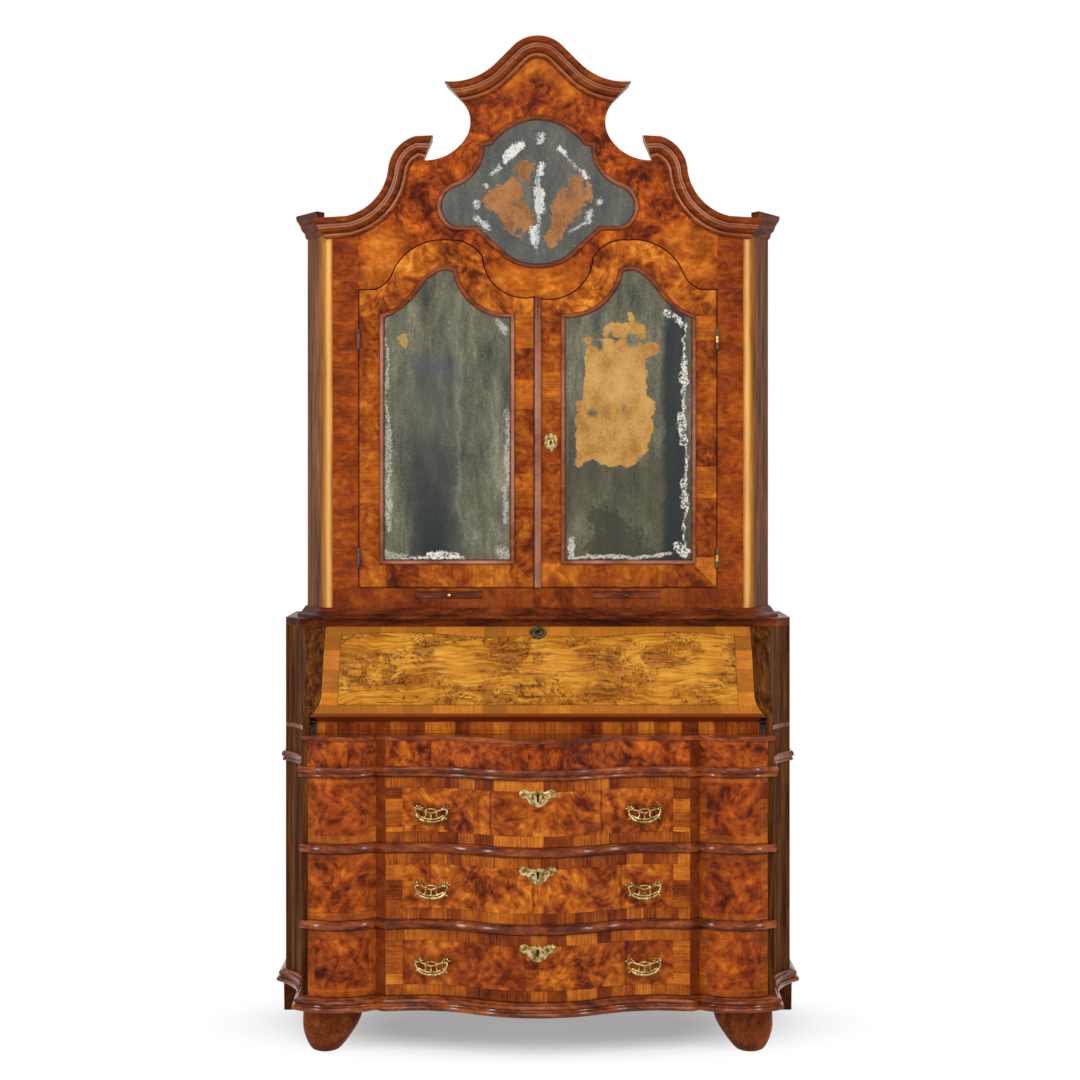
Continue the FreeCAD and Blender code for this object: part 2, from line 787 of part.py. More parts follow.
def make_desk():
    """Hinge rail, writing board, cheeks, top and pigeonholes of the desk."""
    node("hinge_rail", board(
        "hinge_rail", ("-rail_end_half", "rail_end_half"),
        ("hinge_line", "hinge_line + hinge_rail_thickness"), ("ledge_top", "writing_level - part_gap")
    ))
    node("writing_board", board(
        "writing_board", ("-desk_wall_half", "desk_wall_half"),
        ("hinge_line + hinge_rail_thickness", "cabinet_back_line"), ("ledge_top", "writing_level")
    ))
    right = desk_cheek()
    node("desk_cheek_right", right)
    node("desk_cheek_left", mirrored("desk_cheek_left", right))

    slab = chest_plan()
    shape = Part.Face(shut(slab).wire(plan(S.desk_top_bottom))).extrude(Vector(0, 0, S.desk_top_thickness))
    whole = feature("desk_top_plan", shape)
    rear = board(
        "desk_top_rear", ("-side_half - overrun", "side_half + overrun"),
        ("desk_top_front", "back_line + overrun"), ("desk_top_bottom - overrun", "waist_bottom + overrun")
    )
    node("desk_top", common("desk_top", whole, rear))
    make_pigeonholes()


def slope():
    """Placement of the closed fall: X across, Y up the slope and Z outwards."""
    angle = math.degrees(math.atan2(S.fall_rise, S.fall_run))
    return FreeCAD.Placement(Vector(0, S.hinge_line, S.writing_level), Rotation(Vector(1, 0, 0), angle))


def fall_reach():
    return math.hypot(S.fall_rise, S.fall_run)


def fall_face(extra=0):
    """Ogee face of the fall in its own frame, up the slope and outwards, as points of a smooth curve."""
    reach = fall_reach()
    lean = S.fall_run / S.fall_rise
    swells = (S.fall_lip, S.fall_hollow, S.fall_middle, S.fall_crown, S.fall_head)
    spots = [Vector(0, share * reach, swell + extra) for share, swell in zip(FALL_FACE_SHARES, swells)]
    spots[-1].y -= lean * S.fall_head
    curve = Part.BSplineCurve()
    curve.interpolate(spots)
    return curve


def fall_outline(gap):
    """Front outline of the fall in its own frame: flared foot, straight flanks and rounded head."""
    reach = fall_reach()
    foot = Vector(S.fall_half + gap, 0, 0)
    flank = Vector(S.fall_waist_half + gap, S.fall_flare, 0)
    side, rise = FALL_CURL_SHARES
    curl = Vector(S.fall_waist_half + gap + S.fall_flare_width * side, S.fall_flare * rise, 0)
    shoulder = Vector(S.fall_waist_half + gap, reach - S.fall_corner, 0)
    head = Vector(S.fall_waist_half + gap - S.fall_corner, reach + gap, 0)
    side, rise = FALL_KNEE_SHARES
    knee = Vector(shoulder.x - S.fall_corner * side, shoulder.y + S.fall_corner * rise + gap, 0)
    half = Outline(Vector(0, 0, 0)).to(foot).to(flank, curl).to(shoulder).to(head, knee)
    whole = half.extend(half.flipped())
    return drop_short_runs(whole)


def desk_cheek():
    """Right cheek beside the fall: the chest's plan cut to the slope, rebated for the fall's outline."""
    face = fall_face().toShape()
    face.Placement = slope()
    nose, crown = face.Vertexes[0].Point, face.Vertexes[1].Point
    inner = S.desk_wall_half
    toe = Vector(0, nose.y, S.ledge_top)
    spots = [
        Vector(0, crown.y, S.desk_top_bottom), Vector(0, S.back_line, S.desk_top_bottom),
        Vector(0, S.back_line, S.ledge_top), toe, nose
    ]
    runs = zip([crown] + spots[:-1], spots)
    edges = [face] + [Part.makeLine(a, b) for a, b in runs if a.distanceToPoint(b) > S.pin_clearance]
    profile = Part.Face(Part.Wire(Part.sortEdges(edges)[0]))
    profile.translate(Vector(inner, 0, 0))
    wedge = feature("cheek_profile", profile.extrude(Vector(S.side_half - inner + S.overrun, 0, 0)))
    whole = Part.Face(shut(chest_plan()).wire(plan(S.ledge_top)))
    mass = feature("cheek_plan", whole.extrude(Vector(0, 0, S.desk_top_bottom - S.ledge_top)))
    rebate = Part.Face(fall_outline(S.fall_gap).wire(FreeCAD.Placement()))
    below = rectangle(-S.cheek_half, S.cheek_half, -S.fall_lip - S.hinge_rail_height, S.overrun)
    opening = rebate.fuse(Part.Face(below.wire(FreeCAD.Placement()))).removeSplitter()
    opening.translate(Vector(0, 0, -S.part_gap))
    tool = opening.extrude(Vector(0, 0, S.fall_crown + S.fall_lip + S.overrun))
    eye_room = Part.makeCylinder(
        S.hinge_eye_radius + 3 * S.part_gap, S.cheek_half, Vector(0, 0, 0), Vector(1, 0, 0)
    )
    tool = tool.fuse(eye_room)
    tool.Placement = slope()
    seat = board(
        "hinge_seat", ("0 * fall_half", "cheek_half"), ("front_line", "hinge_line + hinge_rail_thickness"),
        ("ledge_top - overrun", "writing_level")
    )
    rebate_tool = fuse("cheek_rebate", [feature("cheek_fall_room", tool), seat])
    return cut("desk_cheek_right", common("cheek_block", wedge, mass), rebate_tool)


def make_pigeonholes():
    """Fixed gallery at the back of the desk: a wide middle space, and pigeonholes over trays beside it."""
    front = "cabinet_back_line - gallery_depth"
    walls = board(
        "gallery_case", ("-desk_wall_half", "desk_wall_half"), (front, "cabinet_back_line"),
        ("writing_level", "desk_top_bottom")
    )
    mouth = (f"{front} - overrun", "cabinet_back_line - gallery_board")
    inside = ("writing_level + gallery_board", "desk_top_bottom - gallery_board")
    spaces = [board("gallery_middle", ("-gallery_centre / 2", "gallery_centre / 2"), mouth, inside)]
    shelf = "writing_level + gallery_shelf_rise"
    start = "gallery_centre / 2 + gallery_board"
    wide = f"( desk_wall_half - gallery_board - ( {start} ) )"
    count = GALLERY_PIGEONHOLES
    cells = [board("gallery_tray", (start, f"{start} + {wide}"), mouth, (inside[0], shelf))]
    for cell in range(count):
        pitch = f"( {wide} + gallery_board ) / {count}"
        low = f"{start} + {cell} * {pitch}"
        cells.append(board(
            f"gallery_cell_{cell}", (low, f"{low} + {pitch} - gallery_board"), mouth,
            (f"{shelf} + gallery_board", inside[1])
        ))
    spaces += cells + [mirrored(f"{cell.Name}_mirror", cell) for cell in cells]
    node("pigeonholes", cut("pigeonholes", walls, fuse("gallery_spaces", spaces)))


def make_fall():
    """Fall front with its ogee face, and the iron pivots that carry it."""
    reach = fall_reach()
    face = fall_face().toShape()
    nose, crown = face.Vertexes[0].Point, face.Vertexes[1].Point
    spots = [crown, Vector(0, reach, 0), Vector(0, 0, 0), nose]
    edges = [face] + [Part.makeLine(start, end) for start, end in zip(spots[:-1], spots[1:])]
    profile = Part.Face(Part.Wire(Part.sortEdges(edges)[0]))
    profile.translate(Vector(-S.fall_half - S.overrun, 0, 0))
    slab = profile.extrude(Vector(2 * (S.fall_half + S.overrun), 0, 0))
    outline = Part.Face(fall_outline(0).wire(FreeCAD.Placement()))
    bulk = outline.extrude(Vector(0, 0, S.fall_crown + S.fall_lip))
    shape = slab.common(bulk)
    inner = S.rail_end_half
    for side in SIDES.values():
        notch = Part.makeCylinder(
            S.hinge_eye_radius + S.part_gap, S.fall_half - inner + S.overrun,
            Vector(side * (inner if side > 0 else S.fall_half + S.overrun), 0, 0), Vector(1, 0, 0)
        )
        shape = shape.cut(notch)
    fall = feature("fall_board", shape)
    fall.Placement = slope()
    node("fall_board", fall)


def make_fall_irons():
    """Iron pivots at the hinge rail's ends, the eyes that turn on them and the fall's key plate."""
    seat_back = "hinge_line + hinge_rail_thickness"
    seat_top = "writing_level - part_gap"
    ear_half = S.cheek_half - S.hinge_iron_thickness
    across = Rotation(Vector(0, 1, 0), 90)
    plate = board(
        "pivot_plate", ("rail_end_half + part_gap", "cheek_half"),
        ("hinge_line + hinge_eye_radius + 3 * part_gap", seat_back), ("ledge_top", seat_top)
    )
    ear = board(
        "pivot_ear", ("cheek_half - hinge_iron_thickness", "cheek_half"),
        ("hinge_line + 2 * part_gap", seat_back), ("ledge_top", seat_top)
    )
    axis = Vector(ear_half, S.hinge_line, S.writing_level)
    boss = rod("pivot_boss", "hinge_eye_radius", "hinge_iron_thickness", axis, across)
    start = S.rail_end_half + S.hinge_iron_thickness
    pin_base = Vector(start, S.hinge_line, S.writing_level)
    pin = rod("pivot_pin", "hinge_pin_radius", "hinge_iron_width - hinge_iron_thickness", pin_base, across)
    pair("fall_hinge_irons", fuse("pivot_right", [plate, ear, boss, pin]))

    wide = ear_half - S.part_gap - start
    along = Vector(1, 0, 0)
    ring = Part.makeCylinder(S.hinge_eye_radius, wide, Vector(start, 0, 0), along)
    strap_base = Vector(start, -S.hinge_iron_thickness, 0)
    strap = Part.makeBox(wide, S.hinge_iron_thickness, S.fall_lip - S.part_gap, strap_base)
    bore = Part.makeCylinder(S.hinge_pin_radius + S.pin_clearance, wide, Vector(start, 0, 0), along)
    eye = feature("fall_eye", ring.fuse(strap).cut(bore))
    eye.Placement = slope()
    skin = Part.makeRuledSurface(fall_face().toShape(), fall_face(S.plate_thickness).toShape())
    skin.translate(Vector(-S.fall_plate_radius, 0, 0))
    strip = skin.extrude(Vector(2 * S.fall_plate_radius, 0, 0))
    middle = Vector(0, fall_reach() - S.fall_plate_drop, 0)
    disc = Part.makeCylinder(S.fall_plate_radius, S.fall_crown + S.fall_lip, middle)
    keyhole = Part.makeCylinder(S.keyhole_radius, S.fall_crown + S.fall_lip, middle)
    plate = feature("fall_key_plate", strip.common(disc).cut(keyhole))
    plate.Placement = slope()
    group("fall_ironwork", [eye, mirrored("fall_eye_mirror", eye), plate])


# Drawers and their brass mounts.
def bow_radius():
    """Radius of the serpentine's middle bow and of the hollows beside it."""
    return ((S.valley_half / 2) ** 2 + (S.centre_swell / 2) ** 2) / S.centre_swell


def hollow_depth(across):
    """Depth of the front at a half width within its hollow."""
    radius = bow_radius()
    return S.front_line - radius + math.sqrt(radius ** 2 - (across - S.valley_half) ** 2)


def make_drawer(step, name):
    """One drawer: serpentine front, box, mounts and two bails."""
    floor = f"case_bottom + {step} * ( drawer_height + rail_height )"
    level = S.case_bottom + step * (S.drawer_height + S.rail_height)
    half = S.inner_half - S.drawer_gap
    back = S.front_line + S.drawer_front_thickness
    lobes = trim_lobes(chest_front(), half)
    shape = Outline(Vector(-half, back, 0)).to(lobes.corners[0]).extend(lobes).to(Vector(half, back, 0))
    lowest = f"{floor} + drawer_gap"
    front = plan_pad(f"{name}_front", [shut(shape)], lowest, "drawer_height - 2 * drawer_gap")
    node(f"{name}_drawer_front", front)

    rear = "front_line + drawer_front_thickness"
    end = f"{rear} + drawer_depth"
    outer = "inner_half - guide_thickness - guide_gap"
    inner = f"{outer} - drawer_board"
    base = f"{floor} + part_gap"
    rim = f"{floor} + drawer_height - drawer_board"
    rest = f"{base} + drawer_bottom_rise"
    inside = (f"-( {inner} )", inner)
    side = board(f"{name}_side", (inner, outer), (rear, end), (base, rim))
    panel = (rest, f"{rest} + drawer_bottom_thickness")
    bottom = board(f"{name}_bottom", inside, (rear, f"{end} - drawer_board"), panel)
    back_board = board(f"{name}_back", inside, (f"{end} - drawer_board", end), (rest, rim))
    group(f"{name}_drawer_box", [side, mirrored(f"{name}_side_mirror", side), bottom, back_board])

    handle_level = level + S.drawer_height / 2 + S.handle_rise
    posts = []
    for place, share in POST_SHARES.items():
        posts.append(handle_post(f"{name}_{place}_post", share, handle_level, front))
    posts += [mirrored(f"{post.Name}_mirror", post) for post in posts]
    key_plate = feature(f"{name}_key_plate", bowed_plate(level + S.drawer_height - S.escutcheon_drop))
    lock = board(
        f"{name}_lock", ("-lock_width / 2", "lock_width / 2"), (rear, f"{rear} + lock_thickness"),
        (f"{rim} - lock_height", rim)
    )
    group(f"{name}_drawer_mounts", posts + [key_plate, lock])
    right = feature(f"{name}_bail", bail_shape())
    right.Placement = handle_frame(handle_level)
    node(f"{name}_bail_right", right)
    node(f"{name}_bail_left", mirrored(f"{name}_bail_mirror", right))


def handle_frame(level):
    """Placement of a right-hand handle: origin on the pivot line, X along the face, front towards -Y."""
    spread = S.handle_post_spacing / 2
    near, far = S.handle_half - spread, S.handle_half + spread
    turn = math.atan2(hollow_depth(far) - hollow_depth(near), far - near)
    rotation = Rotation(Vector(0, 0, 1), math.degrees(turn))
    middle = Vector(S.handle_half, (hollow_depth(near) + hollow_depth(far)) / 2, level)
    return FreeCAD.Placement(middle + rotation.multVec(Vector(0, -S.handle_standoff, 0)), rotation)


def handle_post(name, share, level, front):
    """Post and rose of a handle, seated on the curved drawer front, with an eye for the bail."""
    across = share * S.handle_post_spacing
    outward = Vector(0, -1, 0)
    root = Vector(across, S.handle_standoff + S.overrun, 0)
    post = Part.makeCylinder(S.handle_post_radius, S.handle_standoff + S.overrun, root, outward)
    knob = Part.makeSphere(S.handle_post_radius, Vector(across, 0, 0), outward)
    rose = Part.makeCylinder(S.handle_rose_radius, S.overrun + S.handle_rose_thickness, root, outward)
    eye_start = Vector(across - S.handle_rose_radius, 0, 0)
    eye = Part.makeCylinder(
        S.bail_radius + S.pin_clearance, 2 * S.handle_rose_radius, eye_start, Vector(1, 0, 0)
    )
    turned = feature(f"{name}_turned", post.fuse([knob, rose]).cut(eye))
    turned.Placement = handle_frame(level)
    return cut(name, turned, front)


def bail_shape():
    """Swung handle: a bar through both eyes, bent down and round, with a swelled grip."""
    eye = S.handle_post_spacing / 2
    reach = eye + S.bail_shoulder
    outer = reach + S.bail_bend
    curl = S.bail_drop / 2
    radius = S.bail_radius
    flat = outer - curl
    along, up, turn = Vector(1, 0, 0), Vector(0, 0, 1), Vector(0, -1, 0)
    lower = Part.Face(Part.Wire(Part.makeCircle(radius, Vector(flat, 0, -S.bail_drop), along)))
    upper = Part.Face(Part.Wire(Part.makeCircle(radius, Vector(outer, 0, -S.bail_bend), up)))
    half = [
        lower.revolve(Vector(flat, 0, -curl), turn, 90),
        Part.makeCylinder(radius, curl - S.bail_bend, Vector(outer, 0, -curl), up),
        upper.revolve(Vector(reach, 0, -S.bail_bend), turn, 90),
        Part.makeCylinder(radius, reach - eye + S.handle_eye_length / 2, Vector(reach, 0, 0), -along),
    ]
    image = [piece.mirror(Vector(0, 0, 0), along) for piece in half]
    bar = Part.makeCylinder(radius, 2 * flat, Vector(-flat, 0, -S.bail_drop), along)
    swell = Part.makeSphere(S.bail_swell, Vector(0, 0, -S.bail_drop), along)
    return bar.fuse(half + image + [swell])


def bowed_plate(level):
    """Winged key plate that follows the bow of a drawer front."""
    radius = bow_radius()
    tall = 2 * S.escutcheon_height
    axis = Vector(0, S.front_line - S.centre_swell + radius, level - S.escutcheon_height)
    shell = Part.makeCylinder(radius + S.plate_thickness, tall, axis)
    shell = shell.cut(Part.makeCylinder(radius, tall, axis))
    outline = key_plate_outline(level, S.escutcheon_width, S.escutcheon_height)
    outward = Vector(0, -2 * S.centre_swell, 0)
    prism = Part.Face(outline.wire(upright(S.front_line))).extrude(outward)
    keyhole = Part.makeCylinder(
        S.keyhole_radius, outward.Length, Vector(0, S.front_line, level), Vector(0, -1, 0)
    )
    return shell.common(prism).cut(keyhole)


def key_plate_outline(level, width, height):
    """Outline of a winged key plate about a level on the middle line."""
    scale = Vector(width / 2, height, 0)
    half = from_shares(Vector(0, level - height / 2, 0), KEY_PLATE_SHARES, scale, Vector(0, level, 0))
    return half.extend(half.flipped())


# Upper cabinet.
def cabinet_corner():
    """Inner line of the canted corner: a place on it and its direction."""
    outer = cabinet_side()
    along = (outer.corners[2] - outer.corners[1]).normalize()
    return outer.corners[2] - right_of(along) * S.cabinet_board, along


def cabinet_wall():
    """Plan of the right wall: rounded front post, canted corner and side as one bent board."""
    outer = cabinet_side()
    spot, along = cabinet_corner()
    turn = spot + along * ((S.cabinet_inner_half - spot.x) / along.x)
    throat = spot + along * ((S.facade_back - spot.y) / along.y)
    wall = Outline(Vector(S.post_inner_half, S.facade_line, 0)).to(outer.corners[0]).extend(outer)
    wall.to(Vector(S.cabinet_inner_half, S.back_line, 0)).to(turn).to(throat)
    return shut(wall.to(Vector(S.post_inner_half, S.facade_back, 0)))


def cabinet_inside():
    """Plan of the space between the walls, just behind the doors."""
    spot, along = cabinet_corner()
    turn = spot + along * ((S.cabinet_inner_half - spot.x) / along.x)
    throat = spot + along * ((S.facade_back + S.part_gap - spot.y) / along.y)
    half = Outline(throat).to(turn).to(Vector(S.cabinet_inner_half, S.cabinet_back_line, 0))
    return shut(half.flipped().to(throat).extend(half))


def make_cabinet():
    """Carcass of the upper cabinet: base, walls, boards, backs, face and waist moulding."""
    path = cabinet_plan()
    heights = [S.waist_bottom + share * S.waist_height for _, share in WAIST_SECTION_SHARES]
    out = [share * S.waist_projection for share, _ in WAIST_SECTION_SHARES]
    node("waist_moulding", feature("waist_moulding", moulding(path, path, out, map(plan, heights))))

    stand = "waist_bottom + cabinet_board"
    right = plan_pad("cabinet_side_right", [cabinet_wall()], stand, f"stile_top - ( {stand} )")
    node("cabinet_side_right", right)
    node("cabinet_side_left", mirrored("cabinet_side_left", right))

    base = plan_pad("cabinet_base", [shut(cabinet_plan())], "waist_bottom", "cabinet_board")
    floor = plan_pad("cabinet_deck", [cabinet_inside()], "cabinet_floor - cabinet_board", "cabinet_board")
    ceiling = plan_pad("cabinet_ceiling", [cabinet_inside()], "stile_top - cabinet_board", "cabinet_board")
    shelves = []
    for number, share in enumerate(SHELF_RISE_SHARES):
        level = f"cabinet_floor + {share} * ( stile_top - cabinet_floor )"
        shelves.append(board(
            f"shelf_{number}", ("-cabinet_inner_half", "cabinet_inner_half"),
            ("shelf_front", "cabinet_back_line"), (level, f"{level} + shelf_thickness")
        ))
    group("cabinet_boards", [base, floor, ceiling] + shelves)

    depth = ("cabinet_back_line", "back_line")
    side = "side_half - side_thickness"
    lower = board("chest_back", (f"-( {side} )", side), depth, ("case_bottom", "ledge_bottom"))
    desk = ("-desk_wall_half", "desk_wall_half")
    middle = board("desk_back", desk, depth, ("ledge_top", "desk_top_bottom"))
    upper = board("cabinet_back", ("-cabinet_inner_half", "cabinet_inner_half"), depth, (stand, "stile_top"))
    group("back_boards", [lower, middle, upper])
    stile = board(
        "facade_stile", ("stile_inner_half", "post_inner_half"), ("facade_line", "facade_back"),
        ("waist_top + candle_rail_height", "stile_top")
    )
    pair("facade_stiles", stile)
    make_candle_slides(stand)


def make_candle_slides(stand):
    """Rail under the doors with two slots for pull-out candle slides, their cases and knobs."""
    half = S.candle_width / 2 + S.candle_gap
    low, high = S.candle_bottom - S.part_gap, S.candle_bottom + S.candle_height + S.candle_gap
    middles = [side * S.candle_half for side in SIDES.values()]
    slots = [rectangle(middle - half, middle + half, low, high) for middle in middles]
    foot = S.waist_bottom + S.cabinet_board
    rail = rectangle(-S.post_inner_half, S.post_inner_half, foot, S.waist_top + S.candle_rail_height)
    node("candle_rail", front_pad("candle_rail", [rail] + slots, "facade_line", "facade_thickness"))

    near = "candle_half - candle_width / 2"
    far = "candle_half + candle_width / 2"
    case = board(
        "candle_case_block",
        (f"{near} - candle_gap - candle_case_wall", f"{far} + candle_gap + candle_case_wall"),
        ("facade_back", "facade_line + candle_depth + candle_case_wall"),
        (stand, "cabinet_floor - cabinet_board")
    )
    channel = board(
        "candle_channel", (f"{near} - candle_gap", f"{far} + candle_gap"),
        ("facade_back - overrun", "facade_line + candle_depth + part_gap"),
        ("candle_bottom - part_gap", "cabinet_floor")
    )
    pair("candle_slide_cases", cut("candle_case", case, channel))
    tray = board(
        "candle_board", (near, far), ("facade_line", "facade_line + candle_depth"),
        ("candle_bottom", "candle_bottom + candle_height")
    )
    knob_base = Vector(S.candle_half, S.facade_line, S.candle_bottom + S.candle_height / 2)
    outward = Rotation(Vector(1, 0, 0), 90)
    neck = rod("candle_knob_neck", "candle_knob_radius / 2", "candle_knob_length", knob_base, outward)
    ball = doc.addObject("Part::Sphere", "candle_knob_ball")
    bind(ball, "Radius", "candle_knob_radius")
    ball.Placement.Base = knob_base - Vector(0, S.candle_knob_length, 0)
    knob = fuse("candle_knob", [neck, ball])
    group("candle_slide_right", [tray, knob])
    group("candle_slide_left", [mirrored("candle_board_mirror", tray), mirrored("candle_knob_mirror", knob)])


# Doors, mirrors and crest.
def mirror_outline():
    """Visible plate of the right door's mirror, with its lopsided ogee head."""
    left, right = S.mirror_inner_half, S.mirror_inner_half + S.mirror_width
    shoulder = Vector(left, S.mirror_spring, 0)
    head = from_shares(shoulder, MIRROR_HEAD_SHARES, Vector(S.mirror_width, S.mirror_rise, 0), shoulder)
    shape = Outline(Vector(left, S.mirror_sill, 0)).to(Vector(right, S.mirror_sill, 0))
    return shut(shape.to(head.corners[-1]).extend(head.reversed()))


def cartouche_outline():
    """Visible plate of the crest's mirror."""
    foot = Vector(0, S.crest_mirror_bottom, 0)
    half = from_shares(foot, CARTOUCHE_SHARES, Vector(S.crest_mirror_half, S.crest_mirror_height, 0), foot)
    return half.extend(half.flipped())


def mirror_bead(name, outline):
    """Moulded bead round a mirror, sloping in to the glass."""
    sides = []
    for ring in (1, 2):
        wires = []
        for section in BEAD_SECTION_SHARES:
            depth = S.facade_line - section[0] * S.bead_projection
            wires.append(outline.offset(section[ring] * S.bead_width).wire(upright(depth)))
        sides.append(Part.makeLoft(wires, True, True))
    return feature(name, sides[0].cut(sides[1]))


def mirror_plate(name, outline):
    """Glass let into a shallow recess, its edge under the bead."""
    sheet = outline.offset(S.bead_cover - S.mirror_gap)
    return front_pad(name, [sheet], "facade_line", "mirror_thickness")


def recessed(name, blank, outline):
    """A panel with the recess that holds a mirror."""
    room = outline.offset(S.bead_cover)
    pocket = front_pad(f"{name}_pocket", [room], "facade_line - overrun", "overrun + mirror_thickness")
    return cut(name, blank, pocket)


def door_outline(meeting):
    """Right door from its meeting edge, with the shaped head under the crest."""
    start = Vector(meeting, S.door_spring + DOOR_HEAD_FOOT_SHARE * S.door_rise, 0)
    scale = Vector(S.door_half, S.door_rise, 0)
    head = from_shares(start, DOOR_HEAD_SHARES, scale, Vector(0, S.door_spring, 0))
    head.to(Vector(S.door_half, S.door_spring, 0))
    shape = Outline(Vector(meeting, S.door_bottom, 0)).to(Vector(S.door_half, S.door_bottom, 0))
    return shut(shape.to(head.corners[-1]).extend(head.reversed()))


def door_meetings():
    """Places of the two meeting edges, each as seen in a right-hand door."""
    return {"right": -S.meeting_half, "left": S.meeting_half + S.door_gap}


def make_doors():
    """Both doors with mirrors, beads and hinges; the right one carries the astragal and the key plate."""
    glass = mirror_outline()
    heights = {"low": S.door_hinge_low, "high": S.door_hinge_high}
    leaves = [door_leaf(name, level) for name, level in heights.items()]
    for side, meeting in door_meetings().items():
        blank = front_pad(f"{side}_door_blank", [door_outline(meeting)], "facade_line", "facade_thickness")
        pieces = {
            "panel": recessed(f"{side}_door_board", blank, glass),
            "mirror": mirror_plate(f"{side}_door_plate", glass),
            "mirror_frame": mirror_bead(f"{side}_door_bead", glass),
        }
        for piece, thing in pieces.items():
            node(f"{side}_door_{piece}", thing if side == "right" else mirrored(f"left_{piece}", thing))
    group("left_door_hinges", [mirrored(f"{leaf.Name}_mirror", leaf) for leaf in leaves])
    outline = key_plate_outline(S.door_plate_height, S.door_plate_width, S.door_plate_length)
    plate = front_pad("door_key_plate", [outline], "facade_line - plate_thickness", "plate_thickness")
    bind(plate, "Placement.Base.x", "door_plate_half")
    group("right_door_brasses", leaves + [plate])

    flank = S.facade_line - S.astragal_projection / 2
    strip = Outline(Vector(-S.meeting_half, S.facade_line, 0)).to(Vector(-S.meeting_half, flank, 0))
    strip.to(Vector(S.meeting_half, flank, 0), Vector(0, S.facade_line - S.astragal_projection, 0))
    strip.to(Vector(S.meeting_half, S.facade_line, 0))
    tall = "astragal_top - door_bottom"
    node("right_door_astragal", plan_pad("astragal", [shut(strip)], "door_bottom", tall))
    pins = [stile_leaf(name, level) for name, level in heights.items()]
    group("door_hinge_pins", pins + [mirrored(f"{pin.Name}_mirror", pin) for pin in pins])


def hinge_axis():
    """Place of the right door's hinge pins, just in front of the face."""
    return Vector((S.door_half + S.stile_inner_half) / 2, S.facade_line - S.door_hinge_standoff, 0)


def knuckle(level, shares, radius):
    """Round bar along the hinge axis between two shares of the hinge's length."""
    low, high = (share * S.door_hinge_length for share in shares)
    return Part.makeCylinder(radius, high - low, hinge_axis() + Vector(0, 0, level + low))


def leaf_plate(left, level, shares, front, back):
    """Flat of a hinge leaf between two shares of the hinge's length."""
    low, high = (share * S.door_hinge_length for share in shares)
    return Part.makeBox(S.door_leaf, back - front, high - low, Vector(left, front, level + low))


def stile_leaf(name, level):
    """Fixed leaf with two outer knuckles and the pin."""
    left = S.stile_inner_half - S.door_leaf
    solid = leaf_plate(left, level, HINGE_SHARES, S.facade_line, S.facade_line + S.door_leaf_width)
    for shares in OUTER_KNUCKLE_SHARES:
        solid = solid.fuse(knuckle(level, shares, S.door_hinge_radius))
        solid = solid.fuse(leaf_plate(left, level, shares, hinge_axis().y, S.facade_line))
    return feature(f"stile_leaf_{name}", solid.fuse(knuckle(level, HINGE_SHARES, S.door_hinge_pin)))


def door_leaf(name, level):
    """Leaf on the door's edge, with the middle knuckle bored for the pin."""
    left = S.door_half
    shares = MIDDLE_KNUCKLE_SHARES
    solid = leaf_plate(left, level, HINGE_SHARES, S.facade_line, S.facade_line + S.door_leaf_width)
    solid = solid.fuse(knuckle(level, shares, S.door_hinge_radius))
    solid = solid.fuse(leaf_plate(left, level, shares, hinge_axis().y, S.facade_line))
    bore = knuckle(level, HINGE_SHARES, S.door_hinge_pin + S.pin_clearance)
    return feature(f"door_leaf_{name}", solid.cut(bore))


def crest_path():
    """Upper edge of the middle cornice from its right tip to its left."""
    base = Vector(0, S.crest_top - S.crest_tip_drop, 0)
    tip = base + Vector(S.crest_tip_half, 0, 0)
    half = from_shares(tip, CREST_SHARES, Vector(S.crest_tip_half, S.crest_tip_drop, 0), base)
    return half.extend(half.flipped())


def scroll_path(end_half):
    """Upper edge of the right scroll cornice from its outer end to its tip."""
    tip = Vector(S.scroll_tip_half, S.scroll_tip, 0)
    scale = Vector(S.scroll_end_half - S.scroll_tip_half, S.scroll_tip - S.scroll_end, 0)
    path = from_shares(tip, SCROLL_SHARES, scale, Vector(S.scroll_tip_half, S.scroll_end, 0))
    return path.to(Vector(end_half, S.scroll_end, 0)).reversed()


def corner_mitre():
    """Direction in plan of the mitre where the front cornices meet the canted corners."""
    return mitre(Vector(1, 0, 0), cabinet_corner()[1])


def band(path, ends, outer, inner):
    """Closed strip between two offsets of a path."""
    edge = path.offset(outer, ends)
    back = path.offset(inner, ends).reversed()
    return edge.to(back.corners[0]).extend(back).to(edge.corners[0])


